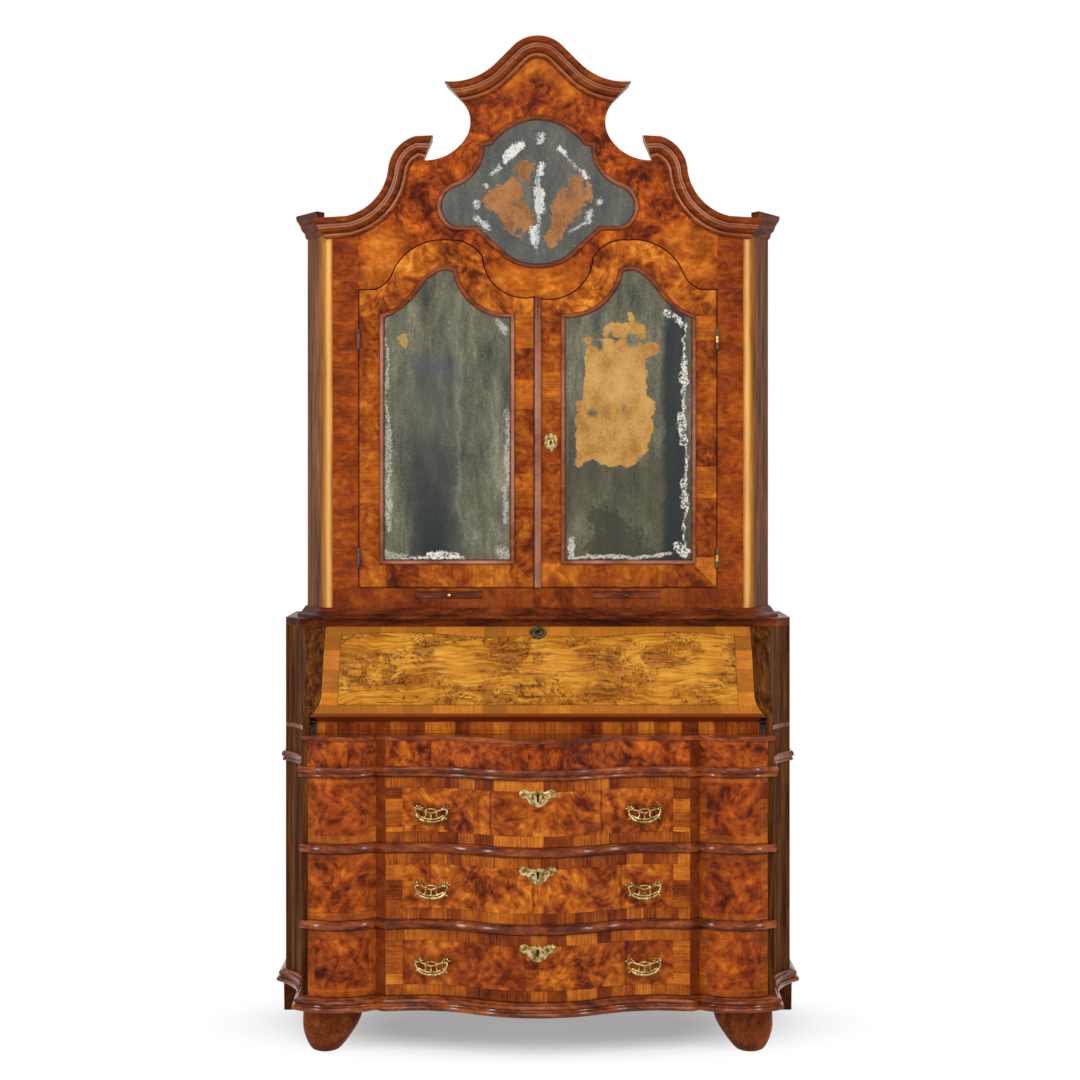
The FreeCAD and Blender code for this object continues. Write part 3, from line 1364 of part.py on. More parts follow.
def make_crest():
    """Crest panel with its cartouche mirror, and the cornices along the edges."""
    tip_slant = Vector(*CREST_END_SHARES, 0)
    crest_ends = (tip_slant, flip(tip_slant))
    scroll_ends = (None, Vector(*SCROLL_END_SHARES, 0))
    middle_wires = []
    scroll_wires = []
    for out_share, width_share in CORNICE_SECTION_SHARES:
        out = out_share * S.cornice_projection
        width = width_share * S.cornice_width
        place = upright(S.facade_line - out)
        scroll = scroll_path(S.facade_half + out * corner_mitre().x)
        middle_wires.append(band(crest_path(), crest_ends, 0, -width).wire(place))
        scroll_wires.append(band(scroll, scroll_ends, 0, -width).wire(place))
    centre = feature("centre_cornice", Part.makeLoft(middle_wires, True, True))
    scroll_piece = feature("scroll_cornice", Part.makeLoft(scroll_wires, True, True))
    group("crest_cornices", [centre, scroll_piece, mirrored("scroll_cornice_mirror", scroll_piece)])

    cant = Vector(S.cabinet_half, S.side_line, 0)
    side = Outline(Vector(S.facade_half, S.facade_line, 0)).to(cant)
    side.to(Vector(S.cabinet_half, S.back_line, 0))
    heights = [S.side_cornice_bottom + share * S.side_cornice_height for _, share in SIDE_CORNICE_SHARES]
    out = [share * S.side_cornice_projection for share, _ in SIDE_CORNICE_SHARES]
    shape = moulding(side, side, out, map(plan, heights), (corner_mitre(), None))
    pair("side_cornices", feature("side_cornice", shape))
    make_crest_panel(crest_ends, scroll_ends)


def make_crest_panel(crest_ends, scroll_ends):
    """Shaped panel behind the cornices, cut to the door heads and recessed for its mirror."""
    scroll = scroll_path(S.post_inner_half)
    edge = scroll.offset(-S.crest_margin, scroll_ends)
    notch = scroll.offset(-S.cornice_width, scroll_ends).corners[-1]
    throat = crest_path().offset(-S.cornice_width, crest_ends).corners[0]
    top = crest_path().offset(-S.crest_margin, crest_ends)
    neck = from_shares(notch, NECK_SHARES, throat - notch, notch)
    low = S.door_spring - S.door_rise
    side = Outline(Vector(S.post_inner_half, low, 0)).to(edge.corners[0]).extend(edge).to(notch).extend(neck)
    whole = Outline(side.corners[0]).extend(side).to(top.corners[0]).extend(top)
    left = side.flipped()
    outline = shut(whole.to(left.corners[0]).extend(left))
    blank = front_pad("crest_blank", [outline], "facade_line", "facade_thickness")
    between = board(
        "crest_room", ("-stile_inner_half", "stile_inner_half"),
        ("facade_line - overrun", "facade_back + overrun"), ("door_spring - door_rise", "crest_top")
    )
    rooms = []
    for name, meeting in door_meetings().items():
        room = door_outline(meeting).offset(S.door_head_gap)
        deep = "facade_thickness + 2 * overrun"
        swept = front_pad(f"{name}_door_room", [room], "facade_line - overrun", deep)
        rooms.append(swept if name == "right" else mirrored("left_door_room_mirror", swept))
    shaped = cut("crest_shaped", common("crest_between", blank, between), fuse("door_rooms", rooms))
    cartouche = cartouche_outline()
    node("crest_panel", recessed("crest_panel", shaped, cartouche))
    node("crest_mirror", mirror_plate("crest_mirror", cartouche))
    node("crest_mirror_frame", mirror_bead("crest_bead", cartouche))


make_feet()
make_chest()
make_desk()
make_fall()
make_fall_irons()
for place, drawer in enumerate(DRAWERS):
    make_drawer(place, drawer)
make_cabinet()
make_doors()
make_crest()
doc.recompute()

faults = [thing.Label for thing in doc.Objects if {"Invalid", "Error"} & set(thing.State)]
faults += [thing.Label for thing in nodes if thing.Shape.isNull() or not thing.Shape.isValid()]
if faults:
    raise RuntimeError(f"pieces that did not build: {faults}")
os.makedirs("parts", exist_ok=True)
for thing in nodes:
    thing.Shape.exportStep(os.path.join("parts", f"{thing.Label}.step"))
    print(thing.Label, len(thing.Shape.Solids), round(thing.Shape.Volume), thing.Shape.BoundBox)
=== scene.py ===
import json
import math

import bpy
from mathutils import Matrix, Vector
from mathutils.bvhtree import BVHTree


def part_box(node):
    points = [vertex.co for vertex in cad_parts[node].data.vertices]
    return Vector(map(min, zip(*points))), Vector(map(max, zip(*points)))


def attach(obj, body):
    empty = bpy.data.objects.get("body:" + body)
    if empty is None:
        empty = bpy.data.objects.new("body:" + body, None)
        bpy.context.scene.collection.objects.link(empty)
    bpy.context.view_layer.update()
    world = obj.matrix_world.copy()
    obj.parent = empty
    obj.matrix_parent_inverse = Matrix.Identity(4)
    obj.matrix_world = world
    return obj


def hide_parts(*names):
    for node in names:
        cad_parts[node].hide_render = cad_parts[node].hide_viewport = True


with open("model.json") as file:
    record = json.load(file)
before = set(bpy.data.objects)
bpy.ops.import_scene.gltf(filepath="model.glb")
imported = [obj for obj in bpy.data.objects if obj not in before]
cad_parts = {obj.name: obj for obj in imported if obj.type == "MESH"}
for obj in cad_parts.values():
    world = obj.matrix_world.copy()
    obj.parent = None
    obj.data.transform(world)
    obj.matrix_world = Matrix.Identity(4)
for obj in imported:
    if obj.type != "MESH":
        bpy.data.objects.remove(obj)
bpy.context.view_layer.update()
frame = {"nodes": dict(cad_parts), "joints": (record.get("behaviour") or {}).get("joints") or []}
nodes = frame["nodes"]

# Levels and half widths of the cabinet, in metres.
drawer_floor = 0.142
drawer_pitch = 0.179
drawer_height = 0.157
break_half = 0.381
facet_half = 0.357
door_bottom = 1.088
door_half = 0.440
mirror_spring = 1.750
hinge_line = -0.149
facade_line = 0.026
writing_level = 0.778
fall_slope = math.radians(52.5)
mm = 0.001

# Softness of an inlaid line, width of a string of inlay, and the stretch of straight grain.
line_blur = 0.0006
string_width = 0.0012
along_moulding = (0.6, 0.6, 2.2)
up_board = (3.0, 2.2, 0.17)


def stain(red, green, blue):
    """A colour as it is seen, turned into the light values that the shaders use."""
    seen = [value / 255 for value in (red, green, blue)]
    light = [v / 12.92 if v <= 0.04045 else ((v + 0.055) / 1.055) ** 2.4 for v in seen]
    return (*light, 1.0)


class Value:
    """An output of a node, open to plain arithmetic."""

    def __init__(self, nodes, socket):
        self.nodes = nodes
        self.socket = socket

    def __add__(self, other):
        return self.nodes.sum("ADD", self, other)

    def __sub__(self, other):
        return self.nodes.sum("SUBTRACT", self, other)

    def __rsub__(self, other):
        return self.nodes.sum("SUBTRACT", other, self)

    def __mul__(self, other):
        return self.nodes.sum("MULTIPLY", self, other)

    def __truediv__(self, other):
        return self.nodes.sum("DIVIDE", self, other)

    def __abs__(self):
        return self.nodes.sum("ABSOLUTE", self)


class Nodes:
    """A node tree, put together one node at a time."""

    def __init__(self, tree):
        self.tree = tree
        tree.nodes.clear()

    def add(self, kind, inputs=None, **settings):
        made = self.tree.nodes.new(kind)
        for key, value in settings.items():
            setattr(made, key, value)
        for key, value in (inputs or {}).items():
            if isinstance(value, Value):
                self.tree.links.new(value.socket, made.inputs[key])
            else:
                made.inputs[key].default_value = value
        return made

    def out(self, kind, output, inputs=None, **settings):
        """One output of a new node."""
        return Value(self, self.add(kind, inputs, **settings).outputs[output])

    def sum(self, operation, first, second=0.0):
        return self.out("ShaderNodeMath", 0, {0: first, 1: second}, operation=operation)

    def most(self, *values):
        whole = values[0]
        for value in values[1:]:
            whole = self.sum("MAXIMUM", whole, value)
        return whole

    def sees_white(self):
        """Rays that meet the plain white background: from the camera, off metal or through glass."""
        rays = self.add("ShaderNodeLightPath").outputs
        kinds = ("Camera", "Glossy", "Transmission")
        return self.most(*(Value(self, rays[f"Is {kind} Ray"]) for kind in kinds))


class Finish(Nodes):
    """Node recipe of one surface of the cabinet."""

    def __init__(self, name):
        self.material = bpy.data.materials.new(name)
        self.material.use_nodes = True
        super().__init__(self.material.node_tree)
        self.place = self.out("ShaderNodeTexCoord", "Object")
        parts = self.add("ShaderNodeSeparateXYZ", {0: self.place}).outputs
        self.x, self.y, self.z = (Value(self, part) for part in parts)

    def above(self, value, edge, soft=line_blur):
        """Rises from 0 to 1 where the value passes an edge."""
        return self.out(
            "ShaderNodeMapRange", "Result",
            {"Value": value, "From Min": edge - soft, "From Max": edge + soft},
            interpolation_type="SMOOTHSTEP"
        )

    def below(self, value, edge, soft=line_blur):
        return 1.0 - self.above(value, edge, soft)

    def within(self, value, low, high, soft=line_blur):
        return self.above(value, low, soft) * self.below(value, high, soft)

    def outside(self, value, low, high, soft=line_blur):
        return self.most(self.below(value, low, soft), self.above(value, high, soft))

    def spread(self, value, low, high, start, end):
        return self.out(
            "ShaderNodeMapRange", "Result",
            {"Value": value, "From Min": low, "From Max": high, "To Min": start, "To Max": end}
        )

    def point(self, x, y, z):
        return self.out("ShaderNodeCombineXYZ", 0, {0: x, 1: y, 2: z})

    def laid(self, place, stretch=(1, 1, 1), shift=(0, 0, 0)):
        return self.out("ShaderNodeMapping", 0, {"Vector": place, "Location": shift, "Scale": stretch})

    def vector(self, operation, output, inputs):
        return self.out("ShaderNodeVectorMath", output, inputs, operation=operation)

    def noise(self, place, scale, detail=3.0, rough=0.5, twist=0.0):
        return self.out(
            "ShaderNodeTexNoise", "Fac",
            {"Vector": place, "Scale": scale, "Detail": detail, "Roughness": rough, "Distortion": twist}
        )

    def drift(self, place, scale, amount, detail=2.0):
        """The place, carried about by a slow noise."""
        cloud = self.out("ShaderNodeTexNoise", "Color", {"Vector": place, "Scale": scale, "Detail": detail})
        centred = self.vector("SUBTRACT", 0, {0: cloud, 1: (0.5, 0.5, 0.5)})
        return self.vector("MULTIPLY_ADD", 0, {0: centred, 1: (amount, amount, amount), 2: place})

    def cells(self, place, scale):
        return self.out("ShaderNodeTexVoronoi", "Distance", {"Vector": place, "Scale": scale})

    def leaves(self, laid):
        """A chance value for each leaf of veneer along a band, and the joints between the leaves."""
        inputs = {"W": laid, "Scale": 1.0}
        tint = self.out("ShaderNodeTexVoronoi", "Color", inputs, voronoi_dimensions="1D")
        gap = self.out(
            "ShaderNodeTexVoronoi", "Distance", inputs,
            voronoi_dimensions="1D", feature="DISTANCE_TO_EDGE"
        )
        return self.out("ShaderNodeSeparateColor", 0, {0: tint}), self.below(gap, 0.012, 0.008)

    def ramp(self, amount, stops):
        """A colour from stops that each give a position and a red, green and blue as seen."""
        made = self.add("ShaderNodeValToRGB", {0: amount})
        line = made.color_ramp
        while len(line.elements) < len(stops):
            line.elements.new(0.5)
        for element, (position, *seen) in zip(line.elements, stops):
            element.position = position
            element.color = stain(*seen)
        return Value(self, made.outputs["Color"])

    def blend(self, how, first, second, masks):
        amount = math.prod(masks[1:], start=masks[0]) if masks else 1.0
        inputs = {0: amount, 6: first, 7: second}
        return self.out("ShaderNodeMix", 2, inputs, data_type="RGBA", blend_type=how)

    def mix(self, first, second, *masks):
        """Turns the first colour into the second where all the masks are 1."""
        return self.blend("MIX", first, second, masks)

    def shade(self, colour, share, *masks):
        """Darkens a colour to a share of itself where all the masks are 1."""
        return self.blend("MULTIPLY", colour, (share, share, share, 1.0), masks)

    def relief(self, height, strength, depth):
        return self.out("ShaderNodeBump", 0, {"Height": height, "Strength": strength, "Distance": depth})

    def surface(self, colour, roughness, normal=None, **constants):
        inputs = {"Base Color": colour, "Roughness": roughness}
        if normal is not None:
            inputs["Normal"] = normal
        for key, value in constants.items():
            inputs[key.replace("_", " ").title().replace("Ior", "IOR")] = value
        shader = self.out("ShaderNodeBsdfPrincipled", 0, inputs)
        self.add("ShaderNodeOutputMaterial", {0: shader})
        return self.material


# Tones of the woods from dark to light: a position on the ramp, then red, green and blue as seen.
burr_tones = [
    (0.36, 66, 20, 5), (0.43, 110, 42, 9), (0.50, 152, 70, 17),
    (0.57, 188, 98, 25), (0.65, 222, 138, 42)
]
bright_burr_tones = [
    (0.36, 84, 30, 7), (0.43, 130, 58, 13), (0.50, 168, 86, 23),
    (0.57, 200, 114, 34), (0.65, 228, 150, 54)
]
red_burr_tones = [
    (0.36, 62, 18, 5), (0.43, 102, 36, 9), (0.50, 140, 58, 14),
    (0.57, 170, 78, 19), (0.65, 202, 108, 30)
]
gold_burr_tones = [
    (0.34, 128, 66, 14), (0.42, 160, 92, 22), (0.50, 188, 120, 34),
    (0.58, 206, 142, 48), (0.66, 222, 166, 72)
]
root_tones = [(0.36, 146, 82, 17), (0.45, 181, 113, 28), (0.53, 205, 137, 41), (0.64, 224, 162, 64)]
band_tones = [
    (0.26, 80, 27, 6), (0.38, 120, 50, 11), (0.50, 158, 78, 20),
    (0.62, 194, 108, 30), (0.74, 224, 146, 48)
]
red_band_tones = [(0.26, 76, 26, 7), (0.40, 114, 44, 11), (0.54, 142, 64, 17), (0.72, 178, 92, 27)]
moulding_tones = [(0.38, 68, 24, 7), (0.46, 102, 41, 12), (0.54, 134, 61, 19), (0.63, 166, 87, 33)]
waist_tones = [(0.38, 52, 19, 6), (0.46, 78, 30, 9), (0.54, 102, 43, 14), (0.63, 128, 60, 23)]
cant_tones = [(0.38, 68, 35, 13), (0.46, 97, 54, 24), (0.54, 122, 72, 35), (0.63, 146, 92, 50)]
side_tones = [(0.38, 48, 22, 7), (0.46, 72, 37, 12), (0.54, 94, 52, 19), (0.63, 118, 72, 30)]
inside_tones = [(0.36, 104, 70, 36), (0.5, 140, 99, 57), (0.64, 174, 130, 80)]
back_tones = [(0.36, 88, 60, 32), (0.5, 124, 89, 53), (0.64, 158, 119, 76)]


def burr(wood, place, tones, lines, eyes, seed, scale=1.0):
    """Burr walnut: clouded figure, fine dark contour lines and clusters of small eyes."""
    moved = wood.laid(place, shift=(seed, seed * 1.7, seed * 0.6))
    warped = wood.drift(moved, 6.0 * scale, 0.1)
    cloud = wood.noise(warped, 13.0 * scale, 5.0, 0.62)
    figure = wood.noise(wood.drift(warped, 22.0, 0.03), 52.0 * scale, 4.0, 0.64)
    tone = cloud * 0.62 + figure * 0.38
    colour = wood.ramp(tone, tones)
    contour = wood.sum("PINGPONG", wood.noise(warped, 18.0 * scale, 3.0) * 11.0, 0.5)
    thin = wood.below(contour, 0.07, 0.06)
    patch = wood.above(wood.noise(moved, 7.0 * scale, 2.0), 0.51, 0.08)
    colour = wood.shade(colour, 0.3, thin, patch, lines)
    knot = wood.below(wood.cells(warped, 130.0 * scale), 0.3, 0.16)
    cluster = wood.above(wood.noise(moved, 9.0 * scale, 3.0), 0.54, 0.07)
    colour = wood.shade(colour, 0.36, knot, cluster, eyes)
    pores = wood.below(wood.noise(wood.laid(warped, (1, 1, 0.3)), 620.0, 2.0), 0.4, 0.05)
    colour = wood.shade(colour, 0.5, pores, 0.3)
    return colour, figure - pores * 0.4


def banding(wood, along, across, tones, pitch, seed, leaf_share):
    """Crossbanding: short leaves of veneer side by side, their grain running across the band."""
    leaf, joint = wood.leaves(along * pitch + seed)
    fine = wood.point(along * 300.0, across * 14.0, leaf * 40.0)
    grain = wood.noise(fine, 1.0, 4.0, 0.62, 0.5)
    slow = wood.noise(wood.laid(wood.place, shift=(seed, leaf_share, seed)), 30.0, 4.0, 0.62)
    figure = grain * 0.42 + slow * (0.64 - leaf_share)
    tone = leaf * leaf_share + figure
    colour = wood.ramp(tone - 0.06, tones)
    dark = wood.below(grain, 0.4, 0.05)
    colour = wood.shade(colour, 0.52, dark, 0.45)
    colour = wood.shade(colour, 0.4, joint, 0.5)
    return colour, grain


def plain(wood, tones, stretch, seed, scale=1.0, place=None):
    """Straight-grained wood: long streaks, darker growth lines and short open pores."""
    moved = wood.laid(wood.place if place is None else place, stretch, (seed, seed, seed))
    warped = wood.drift(moved, 1.6, 0.35)
    streak = wood.noise(warped, 22.0 * scale, 5.0, 0.62)
    line = wood.noise(warped, 90.0 * scale, 3.0, 0.6)
    tone = streak * 0.7 + line * 0.3
    colour = wood.ramp(tone, tones)
    pores = wood.below(wood.noise(moved, 240.0 * scale, 2.0), 0.38, 0.04)
    colour = wood.shade(colour, 0.5, pores, 0.35)
    return colour, line - pores * 0.6


def polished(wood, colour, grain, relief=0.12, bright=0.26, dull=0.42, gloss=0.09):
    """Old wax polish: an uneven sheen over a faintly open grain, and handling marks."""
    handling = wood.noise(wood.laid(wood.place, shift=(4.0, 2.0, 1.0)), 7.0, 4.0, 0.6)
    roughness = wood.spread(handling, 0.3, 0.7, bright, dull)
    normal = wood.relief(grain, relief, 0.0004)
    return wood.surface(colour, roughness, normal, specular_ior_level=gloss)


def framed(wood, value, low, high):
    """Strings of inlay along both edges of a span."""
    return wood.most(
        wood.within(value, low - string_width, low), wood.within(value, high, high + string_width)
    )


def drawer_veneer():
    wood = Finish("drawer_front_veneer")
    wide = abs(wood.x)
    over_floor = wood.z - drawer_floor
    rise = wood.sum("MODULO", over_floor, drawer_pitch)
    storey = wood.sum("FLOOR", over_floor / drawer_pitch)
    band_low, band_high = 0.027, 0.13
    lobe_low, lobe_high = 0.021, 0.136
    lobe_in, lobe_out = 0.398, 0.521
    leaf, joint = wood.leaves(wood.x * 4.2 + storey * 7.3)
    shuffled = wood.point(wood.x + leaf, wood.y + leaf * 3.0, wood.z)
    field, field_grain = burr(wood, shuffled, burr_tones, 0.35, 0.45, 3.1)
    field = wood.mix(field, stain(138, 52, 14), wood.below(leaf, 0.5, 0.2), 0.25)
    middle = wood.above(storey, 1.5, 0.1) * 0.045
    seam = wood.below(abs(wood.x - middle), 0.0008, 0.0005)
    field = wood.shade(field, 0.35, wood.most(joint, seam), 0.65)
    lobe, _ = burr(wood, wood.place, red_burr_tones, 0.3, 0.4, 7.7)
    along = wood.x + storey * 3.7
    cross, cross_grain = banding(wood, along, wood.z, band_tones, 26.0, 0.3, 0.27)
    upright, _ = banding(wood, wood.z, wood.x, band_tones, 26.0, 2.2, 0.27)
    in_band = wood.outside(rise, band_low, band_high)
    side_band = wood.within(wide, 0.318, facet_half)
    colour = wood.mix(field, upright, side_band, 1.0 - in_band)
    colour = wood.mix(colour, cross, in_band)
    lobe_rim = wood.most(wood.outside(rise, lobe_low, lobe_high), wood.outside(wide, lobe_in, lobe_out))
    lobe = wood.mix(lobe, upright, lobe_rim, 0.34)
    lobe_string = wood.most(
        framed(wood, rise, lobe_low, lobe_high) * wood.within(wide, lobe_in - mm, lobe_out + mm),
        framed(wood, wide, lobe_in, lobe_out) * wood.within(rise, lobe_low - mm, lobe_high + mm)
    )
    lobe = wood.shade(lobe, 0.4, lobe_string, 0.6)
    band_string = framed(wood, rise, band_low, band_high)
    colour = wood.shade(colour, 0.4, band_string, wood.below(wide, facet_half), 0.7)
    colour = wood.mix(colour, lobe, wood.above(wide, break_half))
    # Painted shade on the narrow facet where each lobe turns back to the middle.
    facet = wood.within(wide, facet_half, break_half)
    colour = wood.mix(colour, stain(96, 36, 12), facet, 0.8)
    # Painted shade along the top and bottom edges of each drawer front, beside the gaps.
    edge = wood.outside(rise, 0.003, drawer_height - 0.003, 0.002)
    colour = wood.shade(colour, 0.3, edge, 0.75)
    return polished(wood, colour, field_grain + cross_grain)


def frieze_veneer():
    wood = Finish("frieze_veneer")
    wide = abs(wood.x)
    leaf, joint = wood.leaves(wood.x * 5.5)
    shuffled = wood.point(wood.x + leaf, wood.y + leaf, wood.z)
    colour, grain = burr(wood, shuffled, red_burr_tones, 0.35, 0.55, 11.0, 1.2)
    colour = wood.shade(colour, 0.4, joint, 0.5)
    # Painted shade on the narrow facet where each lobe turns back to the middle.
    facet = wood.within(wide, facet_half, break_half)
    colour = wood.mix(colour, stain(92, 34, 12), facet, 0.75)
    return polished(wood, colour, grain)


def door_veneer():
    wood = Finish("door_veneer")
    wide = abs(wood.x)
    head, head_grain = burr(wood, wood.place, bright_burr_tones, 0.4, 0.5, 1.4)
    stiles_per_metre = 4.545
    stile = wood.sum("FLOOR", wood.x * stiles_per_metre)
    along = wood.z + stile * 3.3
    upright, upright_grain = banding(wood, along, wood.x, band_tones, 13.0, 5.0, 0.4)
    cross, _ = banding(wood, wood.x, wood.z, band_tones, 11.0, 8.0, 0.4)
    cross = wood.shade(cross, 0.78)
    from_edge = wood.sum("MINIMUM", wide, door_half - wide)
    foot = wood.below(wood.z - door_bottom - from_edge, 0.0)
    colour = wood.mix(upright, cross, foot)
    swirl, _ = burr(wood, wood.place, burr_tones, 0.5, 0.6, 4.4, 1.3)
    colour = wood.mix(colour, swirl, 0.5)
    colour = wood.mix(colour, head, wood.above(wood.z, mirror_spring + 0.005, 0.001))
    # Painted shade along the foot and the outer edge of each door, beside the gaps.
    edge = wood.below(wood.z - door_bottom, 0.0025, 0.0015)
    edge = wood.most(edge, wood.above(wide, door_half - 0.0025, 0.0015))
    colour = wood.shade(colour, 0.35, edge, 0.7)
    inner, _ = plain(wood, cant_tones, up_board, 4.0)
    colour = wood.mix(colour, inner, wood.above(wood.y, facade_line + 0.01, 0.001))
    return polished(wood, colour, head_grain + upright_grain)


def stile_veneer():
    wood = Finish("stile_veneer")
    colour, grain = banding(wood, wood.z, wood.x, red_band_tones, 6.0, 1.0, 0.2)
    swirl, _ = burr(wood, wood.laid(wood.place, (1, 1, 1.6)), red_burr_tones, 0.4, 0.3, 6.4)
    return polished(wood, wood.mix(colour, swirl, 0.5), grain)


def candle_rail_veneer():
    wood = Finish("candle_rail_veneer")
    colour, grain = banding(wood, wood.x, wood.z, red_band_tones, 9.0, 4.0, 0.28)
    swirl, _ = burr(wood, wood.place, red_burr_tones, 0.4, 0.4, 8.4)
    colour = wood.shade(wood.mix(colour, swirl, 0.45), 0.82)
    return polished(wood, colour, grain)


def crest_veneer():
    wood = Finish("crest_veneer")
    wide = abs(wood.x)
    colour, grain = burr(wood, wood.place, red_burr_tones, 0.5, 0.8, 5.3, 1.2)
    bright, _ = burr(wood, wood.laid(wood.place, (1, 1, 1.5)), bright_burr_tones, 0.4, 0.4, 9.3)
    ring = wood.vector("LENGTH", "Value", {0: wood.laid(wood.place, (1, 0, 1), (0, 0, -2.3))})
    arch = wood.within(ring, 0.05, 0.09, 0.016) * wood.above(wood.z, 2.3, 0.03)
    patch = wood.within(wood.z, 1.84, 1.97, 0.03) * wood.within(wide, 0.33, 0.43, 0.03)
    low = wood.within(wood.z, 1.8, 1.88, 0.03) * wood.below(wide, 0.1, 0.05)
    warm = wood.most(arch, patch, low)
    colour = wood.mix(colour, wood.mix(bright, stain(206, 110, 20), 0.3), warm, 0.85)
    seam = wood.below(wide, 0.0006, 0.0003)
    colour = wood.shade(colour, 0.5, seam, 0.4)
    return polished(wood, colour, grain)


def root_wood(wood, lying):
    """Golden root wood: pale grain along the board, broken by clusters of dark-lined burr."""
    warped = wood.drift(lying, 9.0, 0.07, 1.0)
    grain = wood.noise(wood.drift(wood.laid(warped, (8.0, 130.0, 1.0)), 0.8, 0.6), 1.0, 4.0, 0.62)
    slow = wood.noise(lying, 9.0, 3.0)
    colour = wood.ramp(grain * 0.55 + slow * 0.45, root_tones)
    spread = wood.laid(lying, (1, 1.4, 1), (3.0, 1.0, 0.0))
    cluster = wood.above(wood.noise(spread, 8.0, 3.0, 0.55), 0.47, 0.06)
    fill = wood.above(wood.noise(warped, 17.0, 4.0, 0.6), 0.5, 0.07)
    colour = wood.mix(colour, stain(142, 72, 16), cluster, fill, 0.7)
    contour = wood.sum("PINGPONG", wood.noise(warped, 17.0, 4.0, 0.55) * 12.0, 0.5)
    thin = wood.below(contour, 0.13, 0.08)
    broken = wood.above(wood.noise(lying, 30.0, 2.0), 0.45, 0.06)
    colour = wood.shade(colour, 0.24, cluster, thin, broken, 0.9)
    knot = wood.below(wood.cells(warped, 75.0), 0.3, 0.14)
    colour = wood.shade(colour, 0.38, cluster, knot, 0.6)
    dash = wood.noise(wood.drift(wood.laid(lying, (10.0, 95.0, 1.0)), 1.0, 0.8), 1.0, 3.0, 0.55)
    colour = wood.shade(colour, 0.42, wood.below(dash, 0.41, 0.04), 0.75)
    return colour, grain


def fall_veneer():
    wood = Finish("fall_veneer")
    wide = abs(wood.x)
    along = (wood.y - hinge_line) * math.cos(fall_slope) + (wood.z - writing_level) * math.sin(fall_slope)
    field, grain = root_wood(wood, wood.point(wood.x, along, 0.0))
    cross, cross_grain = banding(wood, wood.x, wood.z, band_tones, 16.0, 6.0, 0.3)
    honey = stain(200, 132, 42)
    cross = wood.mix(cross, honey, 0.42)
    upright, _ = banding(wood, wood.z, wood.x, band_tones, 18.0, 1.0, 0.3)
    upright = wood.mix(upright, honey, 0.34)
    wave = wood.sum("SINE", wide * 14.0) * 0.008
    to_top = along + wave
    field_top, field_foot, field_side = 0.232, 0.036, 0.478
    colour = wood.mix(field, upright, wood.above(wide, field_side))
    in_band = wood.most(wood.above(to_top, field_top), wood.below(along, field_foot))
    colour = wood.mix(colour, cross, in_band)
    string = wood.most(wood.within(to_top, 0.23, 0.2325), wood.within(along, 0.035, 0.0375))
    string = string * wood.below(wide, field_side)
    side_string = wood.within(wide, 0.4772, 0.479) * wood.within(along, 0.0352, 0.238)
    string = wood.most(string, side_string)
    seam = wood.within(wood.x, -0.0005, 0.0005, 0.0004)
    colour = wood.shade(colour, 0.3, wood.most(string, seam * 0.6), 0.8)
    lip = wood.below(along, 0.01, 0.001)
    colour = wood.mix(colour, stain(124, 55, 18), lip)
    return polished(wood, colour, grain + cross_grain)


def hinge_rail_veneer():
    wood = Finish("hinge_rail_veneer")
    colour, grain = banding(wood, wood.x, wood.z, band_tones, 26.0, 9.0, 0.26)
    line = wood.within(wood.z, 0.7555, 0.757)
    colour = wood.shade(colour, 0.3, line, 0.8)
    return polished(wood, colour, grain)


def waxed(name, tones, stretch, seed, *polish):
    """Straight-grained wood with nothing laid into it."""
    wood = Finish(name)
    colour, grain = plain(wood, tones, stretch, seed)
    return polished(wood, colour, grain, *polish)


def bead_wood():
    """Polished beads, with a painted highlight along the ridge, strongest on their upright runs."""
    wood = Finish("bead_walnut")
    colour, grain = plain(wood, moulding_tones, along_moulding, 2.0)
    colour = wood.mix(colour, stain(92, 34, 14), 0.4)
    ridge = wood.below(wood.y, facade_line - 0.0045, 0.001)
    # Painted highlight: a pale ridge standing in for the lamps' shine on the beads.
    painted_highlight = wood.spread(wood.noise(wood.laid(wood.place, (1, 1, 0.4)), 9.0), 0.35, 0.65, 0.1, 0.6)
    upright = wood.most(wood.below(wood.z, mirror_spring, 0.03), wood.within(wood.z, 1.98, 2.1, 0.02))
    painted_highlight = painted_highlight * wood.spread(upright, 0.0, 1.0, 0.15, 0.9)
    colour = wood.mix(colour, stain(216, 162, 138), ridge, painted_highlight)
    return polished(wood, colour, grain, 0.06, 0.16, 0.28, 0.12)


def cornice_wood():
    """Cornice walnut, with painted shade in the hollows of the moulding and a painted highlight on its
    fillets.
    """
    wood = Finish("cornice_walnut")
    colour, grain = plain(wood, moulding_tones, along_moulding, 2.0)
    colour = wood.mix(colour, stain(122, 54, 20), 0.4)
    # Painted shade in the hollows of the moulding.
    painted_hollow_shade = wood.most(
        wood.within(wood.y, -0.01, -0.0052, 0.001), wood.within(wood.y, 0.0085, 0.0165, 0.002)
    )
    colour = wood.shade(colour, 0.4, painted_hollow_shade, 0.55)
    edges = ((-0.0048, -0.0032), (0.0004, 0.0016), (0.0168, 0.018))
    fillets = wood.most(*(wood.within(wood.y, low, high, 0.0004) for low, high in edges))
    # Painted highlight on the fillets, strongest on the upright runs of the scrolls.
    painted_highlight = wood.spread(wood.noise(wood.place, 9.0), 0.35, 0.65, 0.35, 0.9)
    painted_highlight = painted_highlight * wood.spread(wood.within(wood.z, 2.0, 2.14, 0.03), 0.0, 1.0, 0.5, 1.0)
    colour = wood.mix(colour, stain(208, 150, 120), fillets, painted_highlight)
    return polished(wood, colour, grain, 0.06, 0.24, 0.36, 0.06)


